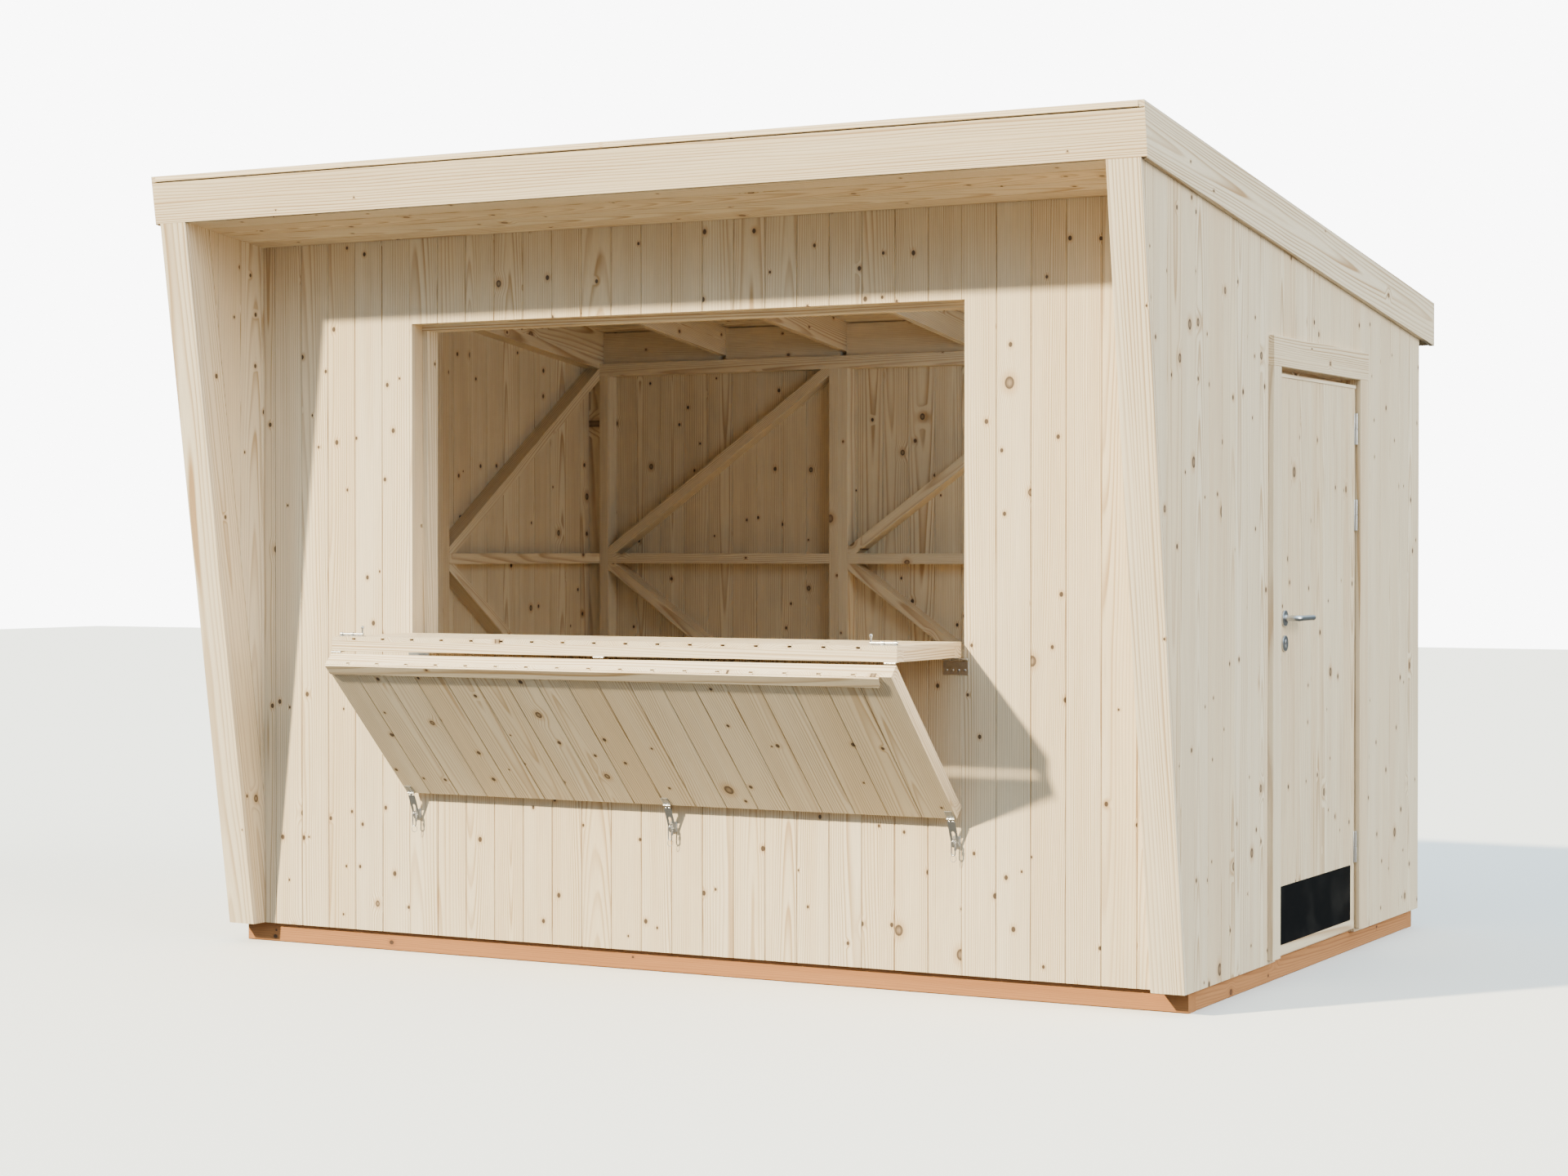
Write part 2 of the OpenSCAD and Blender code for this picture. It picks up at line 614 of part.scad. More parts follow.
module cover_batten() color("wheat") strut_place()
  box([-leaf_w / 2 + cover_left, leaf_back_y, strut_z0 + cover_top],
    [leaf_w / 2 - cover_right, leaf_back_y + cover_t, strut_z0 + cover_w]);

// Plates on the wall's face with their knuckles, under both ends of the counter
counter_hinge_x = leaf_w / 2 - counter_hinge_w / 2 + counter_hinge_out;
module counter_hinges() color("silver") for (side = [-1, 1])
  translate([side * counter_hinge_x - counter_hinge_w / 2, 0, 0]) {
    box([0, front_y - plate_t, sill_z - counter_plate_drop - counter_plate_h],
      [counter_hinge_w, front_y, sill_z - counter_plate_drop]);
    box([0, counter_axis[0] - plate_t / 2, counter_axis[1] - counter_pin_d / 2 - 1],
      [counter_hinge_w, front_y, counter_axis[1] - counter_pin_d / 2 + 1]);
    translate([0, counter_axis[0], counter_axis[1]]) rotate([0, 90, 0])
      cylinder(h = counter_hinge_w, d = counter_pin_d);
  }
// Small hinges between the leaves, fixed to the counter's underside
module fold_hinges() color("silver") counter_place()
  for (x = [-1, 0, 1] * (leaf_w / 2 - fold_hinge_w / 2 - fold_margin)) {
    translate([x - fold_hinge_w / 2, fold_axis[0], fold_axis[1]]) rotate([0, 90, 0])
      cylinder(h = fold_hinge_w, d = fold_pin_d);
    box([x - fold_hinge_w / 2, fold_axis[0], counter_z1],
      [x + fold_hinge_w / 2, fold_axis[0] + plate_t, fold_axis[1]]);
    box([x - fold_hinge_w / 2, front_y - plate_t, counter_z1 - fold_leaf_l],
      [x + fold_hinge_w / 2, front_y, counter_z1 + 2]);
  }

// Barrel bolts on the counter's boards, near its front corners
module bolt_barrels() color("silver") counter_place() for (side = [-1, 1]) {
  for (at = guide_at) let (x = side * (bolt_end_x - at))
    difference() {
      box([x - guide_w / 2, leaf_back_y, bolt_z - guide_h / 2],
        [x + guide_w / 2, bolt_y + bolt_d / 2 + guide_wall, bolt_z + guide_h / 2]);
      translate([x - guide_w, bolt_y, bolt_z]) rotate([0, 90, 0])
        cylinder(h = 2 * guide_w, d = bolt_d + 2 * pin_fit);
    }
  let (x = side * (bolt_end_x - barrel_l / 2))
    box([x - barrel_l / 2, leaf_back_y, bolt_z - barrel_h / 2],
      [x + barrel_l / 2, leaf_back_y + barrel_t, bolt_z + barrel_h / 2]);
}
module bolt(side) color("silver") counter_place() translate([side * bolt_end_x, bolt_y, bolt_z]) {
  rotate([0, -side * 90, 0]) cylinder(h = bolt_rod_l, d = bolt_d);
  translate([-side * (bolt_rod_l - bolt_d / 2), 0, 0]) rotate([-90, 0, 0]) cylinder(h = knob_l, d = bolt_d - 1);
  translate([-side * (bolt_rod_l - bolt_d / 2), knob_l + 1, 0]) sphere(d = knob_d);
}
module bolt_left() bolt(-1);
module bolt_right() bolt(1);

// ---- Hasps ----
module hasp_knuckle(x, w) translate([x - w / 2, hasp_axis[0], hasp_axis[1]]) rotate([0, 90, 0])
  cylinder(h = w, d = hasp_pin_d);
// Plate with a wider bar at its upper end and the two outer knuckles
module hasp_plates() color("silver") strut_place() for (x = hasp_xs) {
  box([x - hasp_w / 2, leaf_back_y, hasp_axis[1] - hasp_plate_l],
    [x + hasp_w / 2, leaf_back_y + plate_t, hasp_axis[1] - hasp_clear]);
  for (side = [-1, 1]) {
    hasp_knuckle(x + side * hasp_w / 3, hasp_w / 3 - pin_fit);
    translate([x + side * hasp_w / 3, leaf_back_y + plate_t / 2, hasp_axis[1] - hasp_clear])
      cube([hasp_w / 3 - pin_fit, plate_t, 2 * hasp_clear], center = true);
  }
}
// Slotted straps, drawn folded flat on the boards and swung out to the wall
module hasp_straps() color("silver") strap_place() for (x = hasp_xs) difference() {
  half_t = plate_t / 2;
  union() {
    hasp_knuckle(x, hasp_w / 3 - pin_fit);
    box([x - hasp_w / 6 + pin_fit, hasp_axis[0] - half_t, hasp_axis[1] - 2 * hasp_clear - 2],
      [x + hasp_w / 6 - pin_fit, hasp_axis[0] + half_t, hasp_axis[1]]);
    box([x - hasp_w / 2, hasp_axis[0] - half_t, hasp_axis[1] - hasp_strap_l],
      [x + hasp_w / 2, hasp_axis[0] + half_t, hasp_axis[1] - 2 * hasp_clear]);
  }
  box([x - slot_w / 2, hasp_axis[0] - 2 * half_t, hasp_axis[1] - strap_slot[1]],
    [x + slot_w / 2, hasp_axis[0] + 2 * half_t, hasp_axis[1] - strap_slot[0]]);
}
// Staples on the wall that stand out through the straps' slots
module hasp_staples() color("silver") for (x = hasp_xs) {
  for (z = [-staple_half_h, staple_half_h]) {
    translate([x, front_y, staple_z + z]) rotate([90, 0, 0]) cylinder(h = staple_reach, d = staple_wire);
    translate([x, front_y - staple_reach, staple_z + z]) sphere(d = staple_wire);
  }
  translate([x, front_y - staple_reach, staple_z - staple_half_h])
    cylinder(h = 2 * staple_half_h, d = staple_wire);
  box([x - staple_plate_w / 2, front_y - staple_plate_t, staple_z - staple_plate_h / 2],
    [x + staple_plate_w / 2, front_y, staple_z + staple_plate_h / 2]);
}

base_frame();
floor_boards();
front_wall_left();
front_wall_right();
front_wall_below();
front_wall_above();
front_frame();
hatch_posts();
hatch_stops();
left_wall();
left_frame();
right_wall_front();
right_wall_rear();
right_wall_over_door();
right_frame();
fin_linings();
fin_trims();
back_wall();
back_frame();
rafters();
roof_boards();
soffit_boards();
front_fascia();
left_fascia();
right_fascia();
back_fascia();
door_jambs();
door_casing();
door_boards();
door_ledges();
door_rails();
kick_panel();
door_hinges();
door_roses();
door_lever();
counter_boards();
counter_frame();
counter_hinges();
bolt_barrels();
bolt_left();
bolt_right();
strut_boards();
strut_frame();
cover_batten();
fold_hinges();
hasp_plates();
hasp_straps();
hasp_staples();
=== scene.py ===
"""Looks of a boarded wooden market stall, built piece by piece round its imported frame."""

import logging
import math
from dataclasses import dataclass, field
from enum import Enum
from typing import Callable, Iterator, Mapping, Sequence

import bpy
import numpy as np
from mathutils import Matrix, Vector


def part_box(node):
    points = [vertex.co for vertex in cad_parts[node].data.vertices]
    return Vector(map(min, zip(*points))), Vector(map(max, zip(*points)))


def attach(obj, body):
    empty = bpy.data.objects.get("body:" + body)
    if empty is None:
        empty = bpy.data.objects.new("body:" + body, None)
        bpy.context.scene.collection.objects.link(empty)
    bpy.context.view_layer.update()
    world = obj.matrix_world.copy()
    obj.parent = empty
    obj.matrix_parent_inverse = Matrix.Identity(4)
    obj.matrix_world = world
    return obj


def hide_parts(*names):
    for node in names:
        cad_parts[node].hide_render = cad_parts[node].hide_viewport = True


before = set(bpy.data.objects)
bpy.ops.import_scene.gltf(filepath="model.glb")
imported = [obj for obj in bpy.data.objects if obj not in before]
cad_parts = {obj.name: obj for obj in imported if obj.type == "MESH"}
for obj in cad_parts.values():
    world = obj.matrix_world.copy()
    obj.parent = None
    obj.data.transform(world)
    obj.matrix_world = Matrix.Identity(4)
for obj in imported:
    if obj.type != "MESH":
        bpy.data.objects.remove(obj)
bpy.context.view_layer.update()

Array = np.ndarray
Colour = tuple[float, float, float]
Place = Callable[[Array], Array]

log = logging.getLogger("market_stall")

X_AXIS = np.array([1.0, 0.0, 0.0])
Y_AXIS = np.array([0.0, 1.0, 0.0])
Z_AXIS = np.array([0.0, 0.0, 1.0])
BOARD_PITCH = 0.1103
NARROWEST_STRIP = 0.02


# ---------------------------------------------------------------------------------------------
# Shader networks
# ---------------------------------------------------------------------------------------------
class Signal:
    """A shader output that takes part in sums and products as a number does."""

    def __init__(self, net: "Net", socket: bpy.types.NodeSocket) -> None:
        """Keeps the network and the socket."""
        self.net = net
        self.socket = socket

    def _with(self, operation: str, first: "Term", second: "Term" = 0.0) -> "Signal":
        """Adds one Math node.

        Args:
            operation: Blender's name of the operation.
            first: The upper term.
            second: The lower term.

        Returns:
            The node's result.
        """
        node = self.net.node("ShaderNodeMath", {"operation": operation}, {0: first, 1: second})
        return Signal(self.net, node.outputs[0])

    def __add__(self, other: "Term") -> "Signal":
        """Sum."""
        return self._with("ADD", self, other)

    def __sub__(self, other: "Term") -> "Signal":
        """Difference."""
        return self._with("SUBTRACT", self, other)

    def __rsub__(self, other: "Term") -> "Signal":
        """Difference with a number on the left."""
        return self._with("SUBTRACT", other, self)

    def __mul__(self, other: "Term") -> "Signal":
        """Product."""
        return self._with("MULTIPLY", self, other)

    def __truediv__(self, other: "Term") -> "Signal":
        """Quotient."""
        return self._with("DIVIDE", self, other)

    def __pow__(self, other: "Term") -> "Signal":
        """Power."""
        return self._with("POWER", self, other)

    def __gt__(self, other: "Term") -> "Signal":
        """One where this is the greater, and zero elsewhere."""
        return self._with("GREATER_THAN", self, other)

    __radd__ = __add__
    __rmul__ = __mul__

    def fraction(self) -> "Signal":
        """The part after the decimal point."""
        return self._with("FRACT", self)

    def root(self) -> "Signal":
        """Square root."""
        return self._with("SQRT", self)

    def at_least(self, other: "Term") -> "Signal":
        """The greater of the two."""
        return self._with("MAXIMUM", self, other)

    def steps(self, low: "Term", high: "Term", at_low: float = 0.0, at_high: float = 1.0) -> "Signal":
        """Maps a range smoothly to another.

        Args:
            low: Where the rise begins.
            high: Where it ends.
            at_low: Result at and below low.
            at_high: Result at and above high.

        Returns:
            The mapped value.
        """
        node = self.net.node(
            "ShaderNodeMapRange",
            {"interpolation_type": "SMOOTHSTEP"},
            {"Value": self, "From Min": low, "From Max": high, "To Min": at_low, "To Max": at_high},
        )
        return Signal(self.net, node.outputs["Result"])


Term = Signal | float


class Net:
    """The node network of a material or of the world."""

    def __init__(self, owner: bpy.types.Material | bpy.types.World) -> None:
        """Starts an empty network on its owner."""
        owner.use_nodes = True
        self.owner = owner
        self.tree = owner.node_tree
        self.tree.nodes.clear()

    def node(self, kind: str, settings: Mapping | None = None, inputs: Mapping | None = None) -> bpy.types.Node:
        """Adds a node.

        Args:
            kind: Blender's name of the node type.
            settings: Its properties. "stops" fills a colour ramp with (place, value) pairs.
            inputs: Numbers, colours, signals or sockets for its inputs, by name or number.

        Returns:
            The new node.
        """
        made = self.tree.nodes.new(kind)
        for key, value in (settings or {}).items():
            if key == "stops":
                self._fill_ramp(made.color_ramp, value)
            else:
                setattr(made, key, value)
        for key, value in (inputs or {}).items():
            self._feed(made.inputs[key], value)
        return made

    @staticmethod
    def _fill_ramp(ramp: bpy.types.ColorRamp, stops: Sequence[tuple[float, float]]) -> None:
        """Sets a ramp's grey stops."""
        while len(ramp.elements) < len(stops):
            ramp.elements.new(1.0)
        for element, (place, value) in zip(ramp.elements, stops):
            element.position = place
            element.color = (value, value, value, 1.0)

    def _feed(self, socket: bpy.types.NodeSocket, value: object) -> None:
        """Links a signal or socket, or sets a plain value."""
        if isinstance(value, Signal):
            self.tree.links.new(value.socket, socket)
        elif isinstance(value, bpy.types.NodeSocket):
            self.tree.links.new(value, socket)
        elif isinstance(value, tuple) and len(value) == 3 and socket.type == "RGBA":
            socket.default_value = (*value, 1.0)
        else:
            socket.default_value = value

    def combine(self, x: Term, y: Term, z: Term) -> bpy.types.NodeSocket:
        """Joins three terms into a vector."""
        return self.node("ShaderNodeCombineXYZ", {}, {0: x, 1: y, 2: z}).outputs[0]

    def split(self, vector: bpy.types.NodeSocket) -> tuple[Signal, Signal, Signal]:
        """Takes a vector or colour apart into its three signals."""
        parts = self.node("ShaderNodeSeparateXYZ", {}, {0: vector})
        return Signal(self, parts.outputs[0]), Signal(self, parts.outputs[1]), Signal(self, parts.outputs[2])

    def mix(self, share: Term, first: object, second: object, how: str = "MIX") -> bpy.types.NodeSocket:
        """Blends two colours.

        Args:
            share: How much of the second.
            first: Colour or socket.
            second: Colour or socket.
            how: Blender's name of the blend.

        Returns:
            The blended colour.
        """
        settings = {"data_type": "RGBA", "blend_type": how}
        return self.node("ShaderNodeMix", settings, {0: share, 6: first, 7: second}).outputs[2]

    def noise(self, vector: bpy.types.NodeSocket, scale: float, detail: float = 2.0) -> Signal:
        """Cloudy noise from 0 to 1 on a vector."""
        node = self.node("ShaderNodeTexNoise", {}, {"Vector": vector, "Scale": scale, "Detail": detail})
        return Signal(self, node.outputs["Fac"])

    def attribute(self, name: str) -> bpy.types.Node:
        """Reads a mesh attribute."""
        return self.node("ShaderNodeAttribute", {"attribute_name": name})

    def finish(self, colour: object, roughness: Term, height: Signal | None, depth: float,
               constants: Mapping[str, float] | None = None) -> bpy.types.Material:
        """Ends the network in a Principled shader.

        Args:
            colour: Base colour.
            roughness: Roughness.
            height: Surface height from 0 to 1, or None where the surface is plain.
            depth: Height in metres that 1 stands for.
            constants: Other sockets of the shader that are the same all over.

        Returns:
            The material.
        """
        inputs = {"Base Color": colour, "Roughness": roughness, **(constants or {})}
        if height is not None:
            bump = self.node("ShaderNodeBump", {}, {"Height": height, "Distance": depth, "Strength": 0.6})
            inputs["Normal"] = bump.outputs[0]
        shader = self.node("ShaderNodeBsdfPrincipled", {}, inputs)
        self.node("ShaderNodeOutputMaterial", {}, {"Surface": shader.outputs[0]})
        return self.owner


@dataclass(frozen=True)
class KnotSize:
    """One kind of knot: how dense it is and how large."""

    cell: float
    share: float
    smallest: float
    largest: float


@dataclass(frozen=True)
class Timber:
    """Softwood finish, drawn in the coordinates of the log that each piece was sawn from.

    The growth rings are cylinders round the log's heart, so a face that lies square to them
    shows long flames, one along them shows straight stripes, and an end shows arcs.
    """

    name: str
    pale: Colour = (0.82, 0.705, 0.525)
    warm: Colour = (0.76, 0.60, 0.395)
    late: Colour = (0.43, 0.27, 0.135)
    knot: Colour = (0.05, 0.027, 0.016)
    halo: Colour = (0.46, 0.27, 0.12)
    ring: float = 0.0056
    contrast: float = 0.85
    roughness: float = 0.6
    pins: KnotSize = KnotSize(0.125, 0.42, 0.0032, 0.0074)
    knots: KnotSize = KnotSize(0.34, 0.36, 0.008, 0.016)

    def _knots(self, net: Net, along: Signal, across: Signal, size: KnotSize, seed: float) -> tuple[Signal, Signal]:
        """Scatters round knots over the face.

        Args:
            net: The network.
            along: Place along the log.
            across: Place across it.
            size: The knots' size and density.
            seed: Offset that sets one kind apart from another.

        Returns:
            Distance from the nearest knot's middle as a multiple of its radius, and whether
            its cell has a knot, as 0 or 1.
        """
        cells = net.combine(along * (0.8 / size.cell) + seed, across * (1 / size.cell) + seed, 0.0)
        voronoi = net.node("ShaderNodeTexVoronoi", {"voronoi_dimensions": "2D"}, {"Vector": cells, "Scale": 1.0})
        chosen, large, _ = net.split(voronoi.outputs["Color"])
        distance = Signal(net, voronoi.outputs["Distance"]) * size.cell
        radius = large * (size.largest - size.smallest) + size.smallest
        return distance / radius, chosen > (1 - size.share)

    def material(self) -> bpy.types.Material:
        """Builds the finish.

        Returns:
            The material, which reads the attributes grain and tone.
        """
        net = Net(bpy.data.materials.new(self.name))
        grain = net.attribute("grain")
        tone = Signal(net, net.attribute("tone").outputs["Fac"])
        along, across, through = net.split(grain.outputs["Vector"])
        pin_reach, pin_here = self._knots(net, along, across, self.pins, 3.7)
        knot_reach, knot_here = self._knots(net, along, across, self.knots, 11.3)
        # Rings run round the knots: they are pushed outwards near one
        pushed = knot_here * knot_reach.steps(0.6, 4.5, 1.0, 0.0) * 0.008
        pushed = pushed + pin_here * pin_reach.steps(0.5, 3.5, 1.0, 0.0) * 0.003
        waves = net.noise(net.combine(along * 0.9, across * 7.0, through * 7.0), 1.0, 2.0) - 0.5
        radius = (across * across + through * through).root() + waves * 0.022 + pushed
        uneven = net.noise(net.combine(radius * 34.0, along * 0.25, 0.0), 1.0, 1.0)
        count = radius / self.ring + uneven * 2.6
        late = net.node(
            "ShaderNodeValToRGB",
            {"stops": [(0.0, 0.3), (0.06, 0.0), (0.5, 0.06), (0.84, 0.95), (0.92, 1.0), (1.0, 0.3)]},
            {"Fac": count.fraction()},
        )
        late_wood = Signal(net, late.outputs[0])
        strength = net.noise(net.combine(along * 1.1, across * 16.0, through * 16.0), 1.0, 1.0).steps(0.3, 0.7, 0.45, 1.0)
        fibre = net.noise(net.combine(along * 9.0, across * 420.0, through * 420.0), 1.0, 2.0)
        streak = net.noise(net.combine(along * 0.8, across * 30.0, through * 30.0), 1.0, 2.0)
        ground = net.mix(tone.steps(0.0, 1.0) * 0.65 + streak.steps(0.35, 0.8) * 0.35, self.pale, self.warm)
        ground = net.mix(late_wood * strength * self.contrast, ground, self.late)
        grey = fibre.steps(0.2, 0.85, 0.9, 1.05)
        ground = net.mix(1.0, ground, net.combine(grey, grey, grey), "MULTIPLY")
        halo = (knot_here * knot_reach.steps(0.8, 2.6, 1.0, 0.0)).at_least(pin_here * pin_reach.steps(0.8, 2.8, 0.8, 0.0))
        ground = net.mix(halo * 0.55, ground, self.halo)
        core = knot_here * knot_reach.steps(0.82, 1.1, 1.0, 0.0) * knot_reach.steps(0.1, 0.9, 0.55, 1.0)
        dark = core.at_least(pin_here * pin_reach.steps(0.75, 1.15, 1.0, 0.0))
        ground = net.mix(dark * 0.92, ground, self.knot)
        height = late_wood * 0.35 * strength + fibre * 0.5 - dark * 0.4
        rough = fibre * 0.16 + (self.roughness - 0.08) - dark * 0.12
        return net.finish(ground, rough, height, 0.0009, {"Specular IOR Level": 0.35})


@dataclass(frozen=True)
class Plated:
    """Bright zinc plating with faint cloudy patches and fine scratches."""

    name: str
    colour: Colour = (0.60, 0.61, 0.63)
    roughness: float = 0.30

    def material(self) -> bpy.types.Material:
        """Builds the finish.

        Returns:
            The material.
        """
        net = Net(bpy.data.materials.new(self.name))
        place = net.node("ShaderNodeTexCoord").outputs["Object"]
        x, y, z = net.split(place)
        cloud = net.noise(place, 60.0, 3.0)
        scratch = net.noise(net.combine(x * 2600.0, y * 2600.0, z * 90.0), 1.0, 1.0)
        shade = net.mix(cloud.steps(0.35, 0.75) * 0.35, self.colour, (0.42, 0.43, 0.45))
        rough = cloud * 0.14 + scratch * 0.08 + (self.roughness - 0.1)
        return net.finish(shade, rough, scratch * 0.4 + cloud * 0.3, 0.00012, {"Metallic": 1.0})


@dataclass(frozen=True)
class Panel:
    """Satin black sheet with a fine leather-like skin."""

    name: str
    colour: Colour = (0.0035, 0.0035, 0.004)

    def material(self) -> bpy.types.Material:
        """Builds the finish.

        Returns:
            The material.
        """
        net = Net(bpy.data.materials.new(self.name))
        place = net.node("ShaderNodeTexCoord").outputs["Object"]
        skin = net.noise(place, 900.0, 2.0)
        dust = net.noise(place, 7.0, 4.0)
        shade = net.mix(dust.steps(0.45, 0.8) * 0.4, self.colour, (0.03, 0.029, 0.027))
        return net.finish(shade, dust * 0.2 + 0.5, skin, 0.0002, {"Specular IOR Level": 0.06})


class Finishes:
    """Every finish of the stall, made once."""

    def __init__(self) -> None:
        """Makes the materials."""
        self.boards = Timber("spruce_boards").material()
        self.trim = Timber("spruce_trim", ring=0.0078, contrast=1.0,
                           pins=KnotSize(0.24, 0.4, 0.0024, 0.005), knots=KnotSize(0.6, 0.35, 0.006, 0.012)).material()
        self.framing = Timber("spruce_framing", knot=(0.16, 0.085, 0.045), pale=(0.82, 0.705, 0.525), warm=(0.76, 0.595, 0.39),
                              ring=0.0046, contrast=0.8).material()
        self.treated = Timber("treated_beams", pale=(0.47, 0.215, 0.08), warm=(0.36, 0.145, 0.048),
                              late=(0.25, 0.10, 0.038), halo=(0.25, 0.10, 0.04), ring=0.005,
                              contrast=0.8, roughness=0.7).material()
        self.zinc = Plated("zinc_plated").material()
        self.dull_zinc = Plated("zinc_dull", (0.46, 0.47, 0.48), 0.4).material()
        self.panel = Panel("black_panel").material()


# ---------------------------------------------------------------------------------------------
# Sawn pieces
# ---------------------------------------------------------------------------------------------
class Edge(Enum):
    """How a board's long edge is worked."""

    SAWN = "square, with its corners taken off"
    FLUSH = "square and sharp, where one board was cut in two for an opening"
    TONGUE = "tongue and V joint"
    GROOVE = "groove and V joint"


@dataclass(frozen=True)
class Milling:
    """Sizes of a board's worked edges, in metres."""

    gap: float = 0.0016
    vee: float = 0.0018
    back_vee: float = 0.0006
    tongue: float = 0.0030
    tongue_t: float = 0.0048
    groove: float = 0.0155
    groove_t: float = 0.0056
    corner: float = 0.0009

    def edge(self, kind: Edge, thick: float) -> Array:
        """Outline of one long edge, from the back face to the front face.

        Args:
            kind: How the edge is worked.
            thick: Thickness of the board.

        Returns:
            Rows of (distance in from the edge, height over the back face).
        """
        if kind is Edge.FLUSH:
            return np.array([(0.0, 0.0), (0.0, thick)])
        if kind is Edge.SAWN:
            c = self.corner
            return np.array([(c, 0.0), (0.0, c), (0.0, thick - c), (c, thick)])
        inset, middle = self.gap / 2, thick / 2
        if kind is Edge.TONGUE:
            reach, half = inset - self.tongue, self.tongue_t / 2
        else:
            reach, half = inset + self.groove, self.groove_t / 2
        return np.array([
            (inset + self.back_vee, 0.0), (inset, self.back_vee),
            (inset, middle - half), (reach, middle - half), (reach, middle + half), (inset, middle + half),
            (inset, thick - self.vee), (inset + self.vee, thick),
        ])


@dataclass(frozen=True)
class Plane:
    """A saw cut: a point on it and its normal."""

    point: tuple[float, float, float]
    normal: tuple[float, float, float]

    def reach(self, base: Array, along: Array) -> Array:
        """How far along the cut lies from each base point.

        Args:
            base: Points, one a row.
            along: Unit vector.

        Returns:
            Distances, one a point.
        """
        normal = np.array(self.normal)
        return (np.array(self.point) - base) @ normal / (along @ normal)


def level(z: float) -> Plane:
    """A level cut at that height."""
    return Plane((0.0, 0.0, z), (0.0, 0.0, 1.0))


def across_x(x: float) -> Plane:
    """An upright cut square to X."""
    return Plane((x, 0.0, 0.0), (1.0, 0.0, 0.0))


def across_y(y: float) -> Plane:
    """An upright cut square to Y."""
    return Plane((0.0, y, 0.0), (0.0, 1.0, 0.0))


@dataclass(frozen=True)
class Axes:
    """A sawn piece's own axes: along the grain, across the face, and out of the face."""

    origin: Array
    along: Array
    across: Array
    out: Array

    def points(self, flat: Array) -> Array:
        """Points of the section, from rows of (across, out)."""
        return self.origin + flat[:, :1] * self.across + flat[:, 1:2] * self.out

    @property
    def right_handed(self) -> bool:
        """Whether across, out and along turn as X, Y and Z do."""
        return float(np.cross(self.across, self.out) @ self.along) > 0


@dataclass(frozen=True)
class Log:
    """Where in a log a piece was sawn: its heart beside the piece, and the piece's run-out."""

    start: float
    heart: tuple[float, float]
    tilt: tuple[float, float]
    tone: float

    def grain(self, along: Array, flat: Array) -> Array:
        """Log coordinates of points on the piece.

        The first is the place along the log. The others are the place in the section less the
        heart's, and they drift along the piece by its tilt.

        Args:
            along: Places along the piece.
            flat: Rows of (across, out).

        Returns:
            Rows of three coordinates.
        """
        section = flat - np.array(self.heart) + along[:, None] * np.array(self.tilt)
        return np.column_stack([along + self.start, section])


